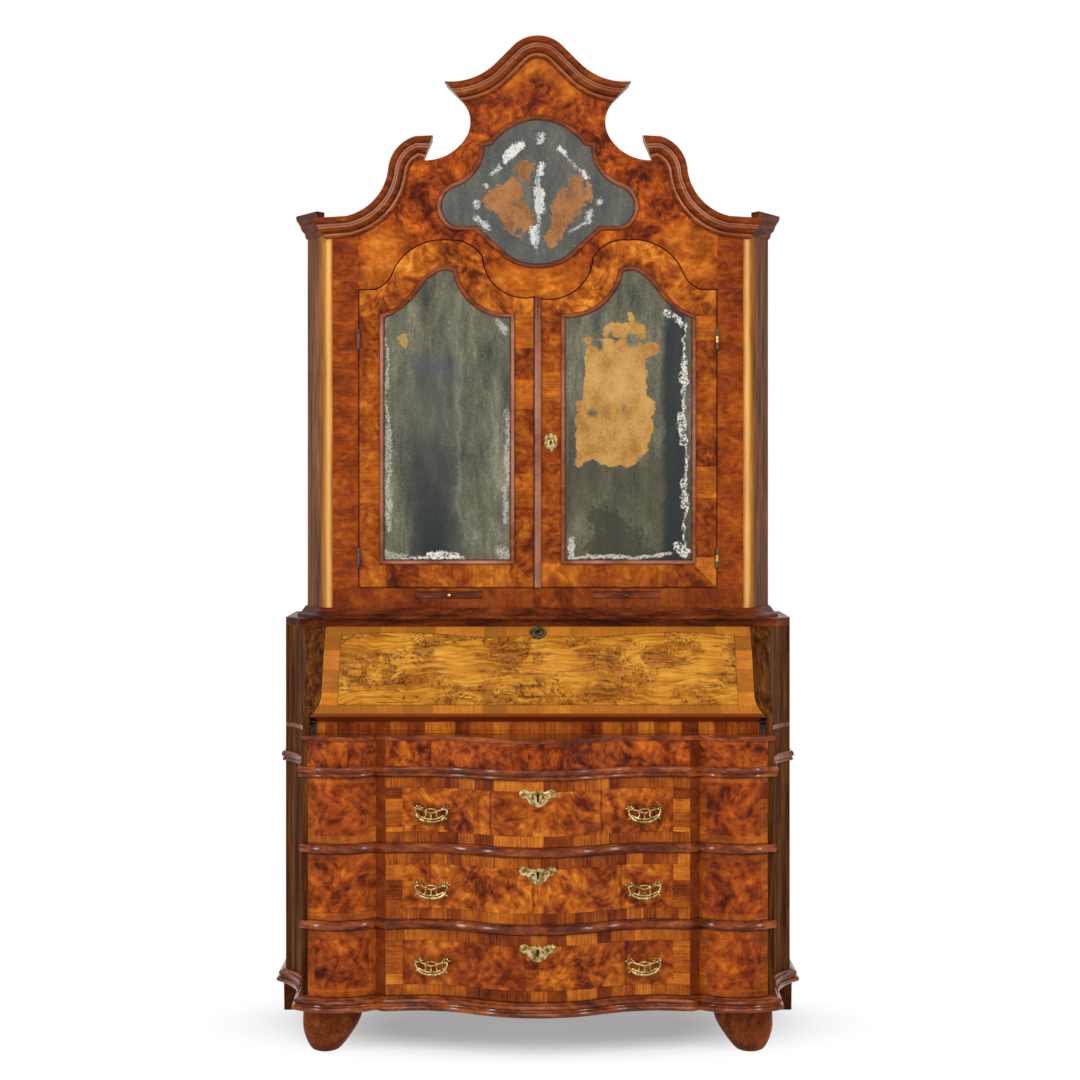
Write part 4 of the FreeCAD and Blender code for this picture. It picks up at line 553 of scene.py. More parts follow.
def post_veneer():
    wood = Finish("cabinet_side_walnut")
    wide = abs(wood.x)
    colour, grain = plain(wood, cant_tones, up_board, 8.0)
    front, _ = plain(wood, gold_burr_tones, (2.6, 1.4, 0.18), 3.0)
    front = wood.mix(front, stain(178, 100, 30), 0.3)
    # Painted shade: the right-hand canted side darker than the left.
    colour = wood.shade(colour, 0.66, wood.above(wood.x, 0.0), 0.55)
    turn = wood.below(wide, 0.53, 0.01)
    # Painted highlight: a pale gold stripe down the middle of each rounded post.
    painted_highlight = wood.within(wide, 0.511, 0.52, 0.006)
    front = wood.mix(front, stain(246, 206, 134), painted_highlight, 0.55)
    inner = wood.below(wide, 0.5075, 0.0015)
    front = wood.shade(front, 0.5, inner, 0.6)
    colour = wood.mix(colour, front, turn)
    return polished(wood, colour, grain, 0.1, 0.3, 0.42, 0.05)


def foot_wood():
    wood = Finish("foot_wood")
    colour, grain = plain(
        wood, [(0.36, 78, 32, 12), (0.5, 116, 56, 24), (0.64, 150, 78, 36)], (1.0, 1.0, 0.8), 1.0
    )
    rear = wood.above(wood.y, 0.1, 0.02)
    colour = wood.shade(colour, 0.4, rear, 0.8)
    return polished(wood, colour, grain, 0.15, 0.42, 0.58, 0.03)


def boarded(name, tones, plank):
    """Plain softwood boards, their grain along the longer way of each face, with a joint at each plank."""
    wood = Finish(name)
    facing = wood.out("ShaderNodeTexCoord", "Normal")
    across = wood.above(abs(wood.out("ShaderNodeSeparateXYZ", 0, {0: facing})), 0.5, 0.1)
    swapped = wood.point(wood.y, wood.x, wood.z)
    place = wood.out("ShaderNodeMix", 1, {0: across, 4: wood.place, 5: swapped}, data_type="VECTOR")
    share = wood.z / plank
    step = wood.sum("FLOOR", share)
    shifted = wood.vector("ADD", 0, {0: place, 1: wood.point(step * 0.73, 0.0, 0.0)})
    colour, grain = plain(wood, tones, (0.12, 1.5, 1.5), 3.0, 1.5, shifted)
    own = wood.out("ShaderNodeTexWhiteNoise", "Value", {"W": step}, noise_dimensions="1D")
    colour = wood.shade(colour, 0.66, own)
    joint = wood.below(wood.sum("FRACT", share), 0.016, 0.006)
    colour = wood.shade(colour, 0.25, joint, 0.8)
    return polished(wood, colour, grain, 0.25, 0.55, 0.75)


def brass():
    metal = Finish("aged_brass")
    cloud = metal.noise(metal.place, 110.0, 4.0, 0.6)
    colour = metal.ramp(cloud, [(0.36, 98, 78, 38), (0.5, 166, 138, 82), (0.64, 210, 188, 138)])
    roughness = metal.spread(cloud, 0.3, 0.7, 0.46, 0.26)
    return metal.surface(colour, roughness, metal.relief(cloud, 0.2, 0.0005), metallic=1.0)


def iron():
    metal = Finish("dark_iron")
    cloud = metal.noise(metal.place, 120.0, 4.0, 0.6)
    colour = metal.ramp(cloud, [(0.36, 52, 44, 38), (0.64, 104, 92, 80)])
    return metal.surface(colour, metal.spread(cloud, 0.3, 0.7, 0.42, 0.62), metallic=0.8)


def painted_keyhole_shade():
    # Painted shade: a near-black finish for the keyholes, standing for the dark of the open hole.
    metal = Finish("painted_keyhole_shade")
    painted_shade_mottle = metal.noise(metal.place, 300.0, 3.0)
    colour = metal.ramp(painted_shade_mottle, [(0.4, 8, 6, 5), (0.6, 22, 16, 12)])
    return metal.surface(colour, metal.spread(painted_shade_mottle, 0.3, 0.7, 0.8, 0.95), specular_ior_level=0.05)


def silvering(glass):
    """Clouded grey-green silvering: the old silver's own tone together with a painted reflection, since the
    glass reflects little; with fine spots, torn places, wear and small chips.
    """
    hung = glass.drift(glass.laid(glass.place, (2.4, 1, 0.7)), 7.0, 0.08)
    cloud = glass.noise(hung, 10.0, 6.0, 0.66)
    fine = glass.noise(glass.place, 150.0, 4.0, 0.6)
    tone = cloud * 0.7 + fine * 0.3
    colour = glass.ramp(
        tone, [(0.36, 58, 59, 51), (0.45, 82, 82, 68), (0.54, 102, 99, 81), (0.65, 134, 130, 109)]
    )
    spots = glass.below(glass.cells(glass.place, 95.0), 0.16, 0.06)
    torn = glass.drift(glass.drift(glass.place, 11.0, 0.03, 2.0), 48.0, 0.02, 5.0)
    wear = glass.noise(glass.place, 80.0, 6.0, 0.72) - 0.5
    chips = glass.noise(glass.place, 230.0, 5.0, 0.72) - 0.5
    return glass.shade(colour, 0.55, spots, 0.3), fine, torn, wear, chips


def stroke(glass, place, mark, soft):
    """A mark from one point of the glass to another, with a round end."""
    start_x, start_z, end_x, end_z, width = (value * mm for value in mark)
    line = Vector((end_x - start_x, 0.0, end_z - start_z))
    from_start = glass.laid(place, (1, 0, 1), (-start_x, 0, -start_z))
    share = line / max(line.length_squared, width * width)
    along = glass.vector("DOT_PRODUCT", "Value", {0: from_start, 1: share})
    held = glass.out("ShaderNodeClamp", 0, {0: along})
    foot = glass.vector("SCALE", 0, {0: line, 3: held})
    gap = glass.vector("DISTANCE", "Value", {0: from_start, 1: foot})
    return glass.below(gap, width, soft)


def marks(glass, place, strokes, soft):
    """Several marks on the glass, each given by its two ends and its half width in millimetres."""
    return glass.most(*(stroke(glass, place, mark, soft) for mark in strokes))


def worn(glass, torn, wear, strokes, fray, soft=0.01):
    """Marks with ragged, broken edges."""
    mask = marks(glass, torn, strokes, soft)
    return glass.above(mask + wear * fray, 0.5, 0.11)


def bare_back(glass, fine, tones):
    """Brown backing board seen where the silver has gone."""
    cloud = glass.noise(glass.laid(glass.place, (1.4, 1, 1)), 16.0, 4.0, 0.55)
    return glass.ramp(cloud * 0.6 + fine * 0.4, tones)


def flaked(glass, colour, mask, level, pale=(216, 213, 198)):
    """Lost silver: a pale crackle inside a mask."""
    place = glass.drift(glass.place, 60.0, 0.01)
    crackle = glass.above(glass.noise(place, 170.0, 5.0, 0.75), level, 0.05)
    return glass.mix(colour, stain(*pale), mask, crackle)


def glazed(glass, colour, fine):
    """The glass in front of the silvering."""
    return glass.surface(
        colour, glass.spread(fine, 0.3, 0.7, 0.34, 0.5), specular_ior_level=0.12, coat_weight=0.2,
        coat_roughness=0.05, coat_ior=1.3
    )


def left_mirror():
    glass = Finish("left_door_mirror")
    colour, fine, torn, wear, chips = silvering(glass)
    haze = marks(glass, torn, [(-262, 1600, -250, 1120, 54)], 0.045)
    colour = glass.mix(colour, stain(72, 75, 72), haze, 0.45)
    # Painted reflection: a blue band near the top of the glass.
    blue = marks(glass, torn, [(-286, 1640, -220, 1622, 16)], 0.03)
    colour = glass.mix(colour, stain(70, 78, 86), blue, 0.6)
    # Painted reflection: a dark band, darker towards the bottom.
    painted_dark_reflection = marks(glass, torn, [(-262, 1400, -256, 1100, 50)], 0.034)
    depth = glass.spread(glass.z, 1.45, 1.2, 0.4, 0.95)
    colour = glass.mix(colour, stain(38, 42, 45), painted_dark_reflection, depth)
    scratch = worn(glass, torn, chips, [(-192, 1670, -196, 1250, 4)], 2.6)
    colour = glass.mix(colour, stain(150, 150, 136), scratch, 0.22)
    spot = worn(glass, torn, wear, [(-334, 1706, -333, 1690, 10)], 0.8, 0.006)
    colour = glass.mix(colour, stain(166, 132, 74), spot, 0.9)
    edge = worn(
        glass, torn, chips,
        [
            (-370, 1480, -367, 1230, 7), (-76, 1520, -78, 1250, 6), (-372, 1700, -370, 1480, 4),
            (-82, 1720, -100, 1740, 8), (-372, 1170, -330, 1164, 10), (-90, 1180, -76, 1164, 12)
        ],
        3.0
    )
    colour = flaked(glass, colour, edge * 0.75, 0.46, (178, 179, 164))
    foot = worn(glass, torn, chips, [(-268, 1166, -205, 1168, 8), (-330, 1161, -180, 1161, 3)], 1.8)
    colour = flaked(glass, colour, foot, 0.46)
    return glazed(glass, colour, fine)


def right_mirror():
    glass = Finish("right_door_mirror")
    colour, fine, torn, wear, chips = silvering(glass)
    # Painted reflection: a dark strip along the outer edge of the glass.
    painted_dark_reflection = marks(glass, torn, [(340, 1760, 334, 1100, 29)], 0.012)
    shade = worn(glass, torn, wear, [(150, 1260, 230, 1200, 30), (160, 1190, 260, 1150, 40)], 2.6, 0.04)
    colour = glass.mix(colour, stain(42, 44, 44), shade, 0.7)
    dim = glass.below(glass.z, 1.41, 0.05) * 0.46
    colour = glass.mix(colour, stain(66, 60, 44), dim)
    colour = glass.mix(colour, stain(37, 41, 44), painted_dark_reflection, 0.9)
    bare = worn(
        glass, torn, wear,
        [
            (222, 1764, 230, 1742, 8), (180, 1718, 243, 1718, 21), (122, 1694, 134, 1690, 10),
            (248, 1645, 281, 1681, 17), (157, 1655, 157, 1560, 44), (226, 1655, 226, 1560, 44),
            (122, 1530, 264, 1532, 27), (126, 1490, 126, 1440, 38), (240, 1490, 232, 1440, 42),
            (180, 1500, 180, 1430, 45), (200, 1412, 224, 1404, 22), (107, 1420, 108, 1398, 12)
        ],
        1.3
    )
    holes = marks(
        glass, torn,
        [
            (130, 1519, 137, 1517, 9), (210, 1530, 211, 1530, 5), (236, 1698, 238, 1688, 15),
            (143, 1688, 150, 1680, 12), (178, 1704, 179, 1703, 8)
        ],
        0.008
    )
    backing = bare_back(glass, fine, [(0.38, 158, 107, 48), (0.5, 180, 134, 69), (0.62, 194, 151, 86)])
    colour = glass.mix(colour, backing, bare, 1.0 - holes)
    edge = worn(
        glass, torn, chips,
        [
            (362, 1740, 362, 1180, 3), (315, 1764, 352, 1735, 8), (358, 1652, 358, 1600, 8),
            (356, 1510, 356, 1448, 10), (358, 1350, 358, 1290, 8), (345, 1185, 358, 1170, 14)
        ],
        2.0, 0.007
    )
    colour = flaked(glass, colour, edge, 0.49)
    foot = worn(glass, torn, chips, [(80, 1164, 325, 1164, 4), (83, 1210, 85, 1170, 7)], 2.2, 0.006)
    colour = flaked(glass, colour, foot, 0.45, (184, 182, 168))
    return glazed(glass, colour, fine)


def crest_mirror():
    glass = Finish("crest_mirror")
    colour, fine, torn, wear, chips = silvering(glass)
    # Painted reflection: the whole plate darker and bluer.
    colour = glass.mix(colour, stain(74, 76, 80), 0.5)
    bare = worn(
        glass, torn, wear,
        [
            (-30, 2120, -50, 2080, 20), (-60, 2066, -106, 2044, 28), (-70, 2030, -50, 1990, 38),
            (100, 2066, 66, 2020, 34), (52, 1996, 40, 1960, 22), (34, 1950, 40, 1938, 12)
        ],
        2.2, 0.016
    )
    bare = bare * glass.above(glass.noise(glass.place, 32.0, 4.0), 0.41, 0.07)
    backing = bare_back(glass, fine, [(0.38, 126, 82, 44), (0.5, 158, 104, 56), (0.62, 176, 122, 72)])
    colour = glass.mix(colour, backing, bare, 0.95)
    bright = worn(
        glass, torn, chips,
        [
            (3, 2068, 3, 2012, 10.5), (-9, 1970, -9, 1940, 7), (8, 2128, 8, 2110, 6),
            (-45, 2178, -80, 2140, 10), (52, 2166, 62, 2160, 7), (112, 2106, 118, 2096, 6)
        ],
        3.0, 0.008
    )
    colour = flaked(glass, colour, bright, 0.42, (212, 209, 202))
    faint = worn(
        glass, torn, chips,
        [
            (3, 2200, 3, 2185, 8), (-118, 2108, -100, 2120, 6), (-128, 2084, -126, 2080, 6),
            (3, 2100, 0, 1930, 5), (62, 2155, 108, 2106, 2), (-152, 2040, -146, 2030, 6),
            (-146, 1998, -120, 1970, 6), (150, 2040, 144, 2036, 6), (126, 2014, 124, 1996, 7),
            (130, 1990, 78, 1966, 3)
        ],
        3.4, 0.007
    )
    colour = flaked(glass, colour, faint, 0.46, (186, 187, 182))
    return glazed(glass, colour, fine)


def candle_slide():
    """Slide front in its slot, with painted shade round it and a brass knob standing out of it."""
    wood = Finish("candle_slide")
    colour, grain = plain(wood, waist_tones, (0.5, 1.0, 1.6), 6.0)
    slot_low, slot_high = 1.0625, 1.0755
    # Painted shade on the slide above and below its front, inside the slot.
    rim = wood.outside(wood.z, slot_low, slot_high, 0.001)
    colour = wood.shade(colour, 0.25, rim, 0.8)
    knob = wood.below(wood.y, facade_line - 0.0005, 0.0003)
    metal = wood.mix(stain(206, 176, 116), stain(96, 72, 48), wood.above(wood.x, 0.0))
    colour = wood.mix(colour, metal, knob)
    return wood.surface(
        colour, wood.spread(grain, 0.3, 0.7, 0.28, 0.4), metallic=knob, specular_ior_level=0.2
    )


def fall_ironwork():
    """Iron pivot eyes, and a round bronze key plate on the face."""
    metal = Finish("fall_ironwork")
    cloud = metal.noise(metal.place, 140.0, 4.0, 0.6)
    dark = metal.ramp(cloud, [(0.36, 34, 28, 24), (0.64, 72, 60, 50)])
    bronze = metal.ramp(cloud, [(0.38, 46, 38, 22), (0.5, 88, 76, 44), (0.62, 136, 120, 76)])
    colour = metal.mix(dark, bronze, metal.above(metal.z, 0.85, 0.01))
    return metal.surface(colour, metal.spread(cloud, 0.3, 0.7, 0.5, 0.36), metallic=0.85)


finishes = {
    "drawer": drawer_veneer(), "frieze": frieze_veneer(), "door": door_veneer(), "stile": stile_veneer(),
    "candle": candle_rail_veneer(), "crest": crest_veneer(), "fall": fall_veneer(),
    "hinge_rail": hinge_rail_veneer(), "bead": bead_wood(), "cornice": cornice_wood(),
    "moulding": waxed("moulding_walnut", moulding_tones, along_moulding, 2.0, 0.06, 0.10, 0.20, 0.24),
    "waist": waxed("waist_walnut", waist_tones, along_moulding, 2.0, 0.06, 0.28, 0.42, 0.06),
    "side": waxed("side_walnut", side_tones, up_board, 5.0, 0.12, 0.48, 0.62, 0.03),
    "post": post_veneer(), "foot": foot_wood(),
    "inside": boarded("carcase_wood", inside_tones, 3.1), "back": boarded("back_boards", back_tones, 0.21),
    "brass": brass(), "iron": iron(), "keyhole": painted_keyhole_shade(), "fall_ironwork": fall_ironwork(),
    "candle_slide": candle_slide(), "left_mirror": left_mirror(), "right_mirror": right_mirror(),
    "crest_mirror": crest_mirror()
}
worn_by = {
    "foot": "feet", "moulding": "base_moulding string_moulding drawer_rails ledge_board",
    "waist": "waist_moulding side_cornices desk_top", "cornice": "crest_cornices",
    "side": "desk_side_right desk_side_left desk_cheek_right desk_cheek_left",
    "frieze": "frieze_front", "hinge_rail": "hinge_rail", "fall": "fall_board",
    "post": "cabinet_side_right cabinet_side_left", "stile": "facade_stiles", "candle": "candle_rail",
    "candle_slide": "candle_slide_right candle_slide_left", "door": "right_door_panel left_door_panel",
    "crest": "crest_panel", "right_mirror": "right_door_mirror", "left_mirror": "left_door_mirror",
    "crest_mirror": "crest_mirror",
    "bead": "right_door_mirror_frame left_door_mirror_frame crest_mirror_frame right_door_astragal",
    "iron": "fall_hinge_irons left_door_hinges door_hinge_pins", "fall_ironwork": "fall_ironwork",
    "brass": "right_door_brasses", "back": "back_boards"
}
dressing = {name: kind for kind, names in worn_by.items() for name in names.split()}
for name, node in nodes.items():
    if "bail" in name or name.endswith("_mounts"):
        kind = "brass"
    elif name.endswith("_drawer_front"):
        kind = "drawer"
    else:
        kind = dressing.get(name, "inside")
    for slot in node.material_slots:
        slot.material = finishes[kind]


# Brass mounts, modelled in millimetres about their own middle and then laid on the cabinet.
drawers = ("bottom", "middle", "top")
sides = {"left": -1, "right": 1}
post_half = 32.5
post_length = 15.0
plate_thickness = 2.0
key_plate_drop = 0.041
lock_width = 0.070
lock_thickness = 0.012
lock_height = 0.045
ring_knots = 8


def pick(pieces):
    """Selects only these pieces."""
    bpy.ops.object.select_all(action="DESELECT")
    for piece in pieces:
        piece.select_set(True)
    bpy.context.view_layer.objects.active = pieces[0]


def cast_bar(name, points, radii, closed=False):
    """A cast bar along a smooth line, thicker and thinner along its length."""
    bpy.ops.object.select_all(action="DESELECT")
    bpy.ops.curve.primitive_nurbs_path_add()
    line = bpy.context.object
    line.name = name
    line.data.splines.clear()
    spline = line.data.splines.new("NURBS")
    spline.points.add(len(points) - 1)
    for knot, place, radius in zip(spline.points, points, radii):
        knot.co = (*(Vector(place) * mm), 1.0)
        knot.radius = radius
    spline.use_cyclic_u = closed
    spline.order_u = 3
    spline.use_endpoint_u = not closed
    spline.resolution_u = 4
    line.data.bevel_depth = mm
    line.data.bevel_resolution = 2
    line.data.use_fill_caps = not closed
    bpy.ops.object.convert(target="MESH")
    return bpy.context.object


def oval(x, z, wide, tall):
    """Knots of an oval about a point."""
    turns = [math.tau * step / ring_knots for step in range(ring_knots)]
    return [(x + wide * math.cos(turn), z + tall * math.sin(turn)) for turn in turns]


def cast_ring(name, middle, wide, tall, radius):
    """A closed oval ring in the upright plane."""
    points = [(x, middle[1], z) for x, z in oval(middle[0], middle[2], wide, tall)]
    return cast_bar(name, points, [radius] * ring_knots, True)


def joined(name, pieces, angle=50):
    """Pieces soldered into one, with clean outward faces."""
    pick(pieces)
    if len(pieces) > 1:
        bpy.ops.object.join()
    whole = bpy.context.object
    whole.name = name
    bpy.ops.object.transform_apply(location=True, rotation=True, scale=True)
    bpy.ops.object.mode_set(mode="EDIT")
    bpy.ops.mesh.select_all(action="SELECT")
    bpy.ops.mesh.remove_doubles(threshold=0.00001)
    bpy.ops.mesh.normals_make_consistent(inside=False)
    bpy.ops.object.mode_set(mode="OBJECT")
    bpy.ops.object.shade_smooth_by_angle(angle=math.radians(angle))
    return whole


def laid_copy(name, piece, place):
    """A copy with a mesh of its own, laid in its place."""
    pick([piece])
    bpy.ops.object.duplicate()
    made = bpy.context.object
    made.name = name
    made.matrix_world = place
    bpy.ops.object.transform_apply(location=True, rotation=True, scale=True)
    return made


def both_ways(points):
    """Half a line from its right end to the middle, carried on to the left end."""
    return points + [(-x, *rest) for x, *rest in reversed(points[:-1])]


def finished(piece, kind, body):
    piece.data.materials.clear()
    piece.data.materials.append(finishes[kind])
    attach(piece, body)


def model_bail():
    """Pierced bail: a swelled loop from pin to pin, with an inner arc, a stem and struts inside it."""
    loop = [
        (20, 0, -3), (27, 0, -0.5), (34, 0, 0.5), (38.5, 0, -3), (37, 0, -10.5), (32.5, 0, -18.5),
        (24.5, 0, -25.5), (13, 0, -29.5), (0, 0, -30.5)
    ]
    swell = [1.9, 2.1, 2.5, 2.8, 3.0, 3.2, 3.3, 3.4, 3.7]
    pieces = [cast_bar("bail_loop", both_ways(loop), swell + swell[-2::-1])]
    arc = both_ways([(31, 0, -14), (21, 0, -20), (10, 0, -23.5), (0, 0, -24)])
    pieces.append(cast_bar("bail_arc", arc, [1.8, 2.2, 2.3, 2.4, 2.3, 2.2, 1.8]))
    yoke = both_ways([(22, 0, -2.5), (14, 0, -4.5), (6, 0, -8), (0, 0, -10)])
    pieces.append(cast_bar("bail_yoke", yoke, [1.8, 2.1, 2.1, 2.3, 2.1, 2.1, 1.8]))
    for side in sides.values():
        for name, line, radii in (
            ("bail_strut", [(16, -4.5), (11.5, -11), (13, -16), (16, -22)], [1.8, 1.7, 1.8, 2.0]),
            ("bail_link", [(5, 0.2), (9.5, -0.6), (14, -4)], [1.5, 1.5, 1.6]),
            ("bail_leaf", [(33, -20), (36.5, -23), (38.5, -24)], [2.2, 2.0, 0.8])
        ):
            pieces.append(cast_bar(name, [(side * x, 0, z) for x, z in line], radii))
    pieces.append(cast_bar("bail_crown", [(-8, 0, -0.4), (0, -0.5, 1.4), (8, 0, -0.4)], [1.0, 3.0, 1.0]))
    stem = [(0, 0, -9), (0, 0, -13), (0, 0, -18), (0, 0, -24)]
    pieces.append(cast_bar("bail_stem", stem, [2.2, 1.7, 2.0, 2.8]))
    return joined("bail", pieces)


def model_post():
    """Turned post on a rose of long and short leaves."""
    turned = [
        (post_length + 0.6, 6.2), (12.5, 5.6), (9.5, 3.3), (5, 3.0), (1.5, 4.5), (-2, 4.4), (-5.4, 0.9)
    ]
    pieces = [cast_bar("post_turning", [(0, y, 0) for y, _ in turned], [radius for _, radius in turned])]
    for degrees, reach, thick in (
        (0, 13, 3.2), (180, 13, 3.2), (52, 9.5, 2.6), (128, 9.5, 2.6), (-52, 8.5, 2.4), (-128, 8.5, 2.4)
    ):
        turn = math.radians(degrees)
        leaf = [
            (2.5, 12.8, thick * 0.6), (reach * 0.5, 12.2, thick), (reach * 0.8, 12.8, thick * 0.8),
            (reach, 14.4, 0.6)
        ]
        points = [(out * math.cos(turn), y, out * math.sin(turn)) for out, y, _ in leaf]
        pieces.append(cast_bar("rose_leaf", points, [radius for _, _, radius in leaf]))
    return joined("handle_post", pieces)


def pierced_plate(name, outlines, thickness):
    """A flat plate cut to an outline, pierced, with its edges rounded."""
    bpy.ops.object.select_all(action="DESELECT")
    bpy.ops.curve.primitive_nurbs_circle_add()
    plate = bpy.context.object
    plate.name = name
    plate.data.splines.clear()
    plate.data.dimensions = "2D"
    plate.data.fill_mode = "BOTH"
    for outline in outlines:
        spline = plate.data.splines.new("NURBS")
        spline.points.add(len(outline) - 1)
        for knot, (x, z) in zip(spline.points, outline):
            knot.co = (x * mm, z * mm, 0.0, 1.0)
        spline.use_cyclic_u = True
        spline.order_u = 3
        spline.resolution_u = 4
    plate.data.extrude = thickness * mm * 0.25
    plate.data.bevel_depth = thickness * mm * 0.25
    plate.data.bevel_resolution = 1
    bpy.ops.object.convert(target="MESH")
    return bpy.context.object


def raised(points, height):
    """A line drawn on a plate, lifted to its face."""
    return [(x, z, height) for x, z in points]


def model_key_plate():
    """Winged key plate with scrolls in relief and piercings beside the keyhole."""
    edge = [
        (0, -20.5), (7, -19.5), (14, -15.5), (20.5, -10.5), (23.5, -4), (26, -0.5), (32, -1.5), (39.5, 2),
        (43.5, 9), (41.5, 15.5), (36, 19.5), (29, 20.5), (23.5, 17.5), (18.5, 14.5), (12, 15), (6, 16),
        (0, 17)
    ]
    outline = edge + [(-x, z) for x, z in reversed(edge[1:-1])]
    keyhole = [(-3, -9.5), (3, -9.5), (2.4, -2), (3.8, 4), (2.6, 9.5), (-2.6, 9.5), (-3.8, 4), (-2.4, -2)]
    holes = [keyhole]
    for side in sides.values():
        holes.append(oval(side * 11.8, 1.5, 3.0, 4.2))
        holes.append(oval(side * 32, 8.5, 4.0, 3.4))
        holes.append(oval(side * 22, 8, 2.2, 2.2))
    pieces = [pierced_plate("plate_blank", [outline] + holes, plate_thickness)]
    lift = plate_thickness * 0.6
    lines = {
        "wing_scroll": [
            (7, -16.5), (14, -12), (19.5, -7), (22, -0.5), (27, 3), (34, 2), (39.5, 7), (38, 14),
            (31, 16.5), (26, 13)
        ],
        "shoulder_scroll": [(3, 13.5), (9, 11.5), (14.5, 11), (19, 12.5), (24, 14.5)],
        "keyhole_rim": [(5.5, 9), (7, 2), (5, -6), (6, -11.5)]
    }
    for side in sides.values():
        for name, line in lines.items():
            points = raised([(side * x, z) for x, z in line], lift)
            pieces.append(cast_bar(name, points, [1.5] * (len(line) - 1) + [0.8]))
    pieces.append(cast_bar("plate_tip", raised([(0, -11.5), (0, -15.5), (0, -19)], lift), [1.6, 2.4, 0.9]))
    pieces.append(cast_bar("plate_crown", raised([(-4, 12.5), (0, 14), (4, 12.5)], lift), [0.9, 2.3, 0.9]))
    plate = joined("key_plate", pieces, 40)
    bpy.ops.object.mode_set(mode="EDIT")
    for x in range(-45, 50, 9):
        bpy.ops.mesh.select_all(action="SELECT")
        bpy.ops.mesh.bisect(plane_co=(x * mm, 0, 0), plane_no=(1, 0, 0))
    bpy.ops.object.mode_set(mode="OBJECT")
    return plate


def face_tree(name):
    """The face of a carried-over piece, for seating mounts on it."""
    mesh = nodes[name].data
    return BVHTree.FromPolygons(
        [vertex.co for vertex in mesh.vertices], [polygon.vertices[:] for polygon in mesh.polygons]
    )


def seat_on_face(piece, tree, middle):
    """Lays a flat plate on a bowed front: its height goes up, its thickness outwards."""
    for vertex in piece.data.vertices:
        x = middle[0] + vertex.co.x
        z = middle[1] + vertex.co.y
        hit = tree.ray_cast(Vector((x, -1.0, z)), Vector((0, 1, 0)))[0]
        vertex.co = Vector((x, hit.y - vertex.co.z - plate_thickness * mm * 0.5, z))
    pick([piece])
    bpy.ops.object.mode_set(mode="EDIT")
    bpy.ops.mesh.select_all(action="SELECT")
    bpy.ops.mesh.normals_make_consistent(inside=False)
    bpy.ops.object.mode_set(mode="OBJECT")


def lock_level(drawer):
    """Height of the middle of a drawer's lock."""
    return drawer_floor + drawer_pitch * drawers.index(drawer) + drawer_height - key_plate_drop


def model_lock(drawer):
    """Iron lock case on the back of a drawer front, with its bolt and screws."""
    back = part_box(f"{drawer}_drawer_mounts")[1][1]
    height = lock_level(drawer)
    bpy.ops.object.select_all(action="DESELECT")
    bpy.ops.mesh.primitive_cube_add(size=1, location=(0, back - lock_thickness / 2, height))
    case = bpy.context.object
    case.scale = (lock_width, lock_thickness, lock_height)
    bpy.ops.object.transform_apply(location=True, rotation=True, scale=True)
    bpy.ops.object.mode_set(mode="EDIT")
    bpy.ops.mesh.select_all(action="SELECT")
    bpy.ops.mesh.bevel(offset=0.0012, segments=2)
    bpy.ops.object.mode_set(mode="OBJECT")
    pieces = [case]
    for x in (-28, 28):
        for z in (-16, 16):
            place = (x, back / mm, height / mm + z)
            screw = [(place[0], place[1] - 0.6, place[2]), (place[0], place[1] + 0.8, place[2])]
            pieces.append(cast_bar("lock_screw", screw, [3.0, 2.2]))
    bolt = [(0, (back - lock_thickness / 2) / mm, height / mm + z) for z in (20, 23.4)]
    pieces.append(cast_bar("lock_bolt", bolt, [3.4, 3.2]))
    return joined(f"{drawer}_drawer_lock", pieces, 30)


def make_handles_and_locks():
    bail = model_bail()
    post = model_post()
    plate = model_key_plate()
    joints = {joint["name"]: joint for joint in frame["joints"]}
    for drawer in drawers:
        mounts = []
        for side in sides:
            swing = joints[f"{drawer}_{side}_bail_swing"]
            along = -Vector(swing["axis"])
            turn = Matrix.Rotation(math.atan2(along.y, along.x), 4, "Z")
            place = Matrix.Translation(swing["pos_m"]) @ turn
            made = laid_copy(f"{drawer}_{side}_pierced_bail", bail, place)
            finished(made, "brass", f"{drawer}_{side}_bail")
            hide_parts(f"{drawer}_bail_{side}")
            for end in (-post_half, post_half):
                mounts.append(
                    laid_copy(f"{drawer}_{side}_post", post, place @ Matrix.Translation((end * mm, 0, 0)))
                )
        height = lock_level(drawer)
        key_plate = laid_copy(f"{drawer}_key_plate", plate, Matrix())
        tree = face_tree(f"{drawer}_drawer_front")
        seat_on_face(key_plate, tree, (0.0, height))
        # Painted shade: a black sheet behind the keyhole of the plate, standing for the hole.
        blank = pierced_plate("keyhole_blank", [[(-4.4, -11), (4.4, -11), (4.8, 11), (-4.8, 11)]], 0.6)
        dark = joined(f"{drawer}_keyhole", [blank], 40)
        seat_on_face(dark, tree, (0.0, height))
        finished(dark, "keyhole", f"{drawer}_drawer")
        finished(model_lock(drawer), "iron", f"{drawer}_drawer")
        brasses = joined(f"{drawer}_drawer_brasses", mounts + [key_plate])
        finished(brasses, "brass", f"{drawer}_drawer")
        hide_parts(f"{drawer}_drawer_mounts")
    pick([bail, post, plate])
    bpy.ops.object.delete()


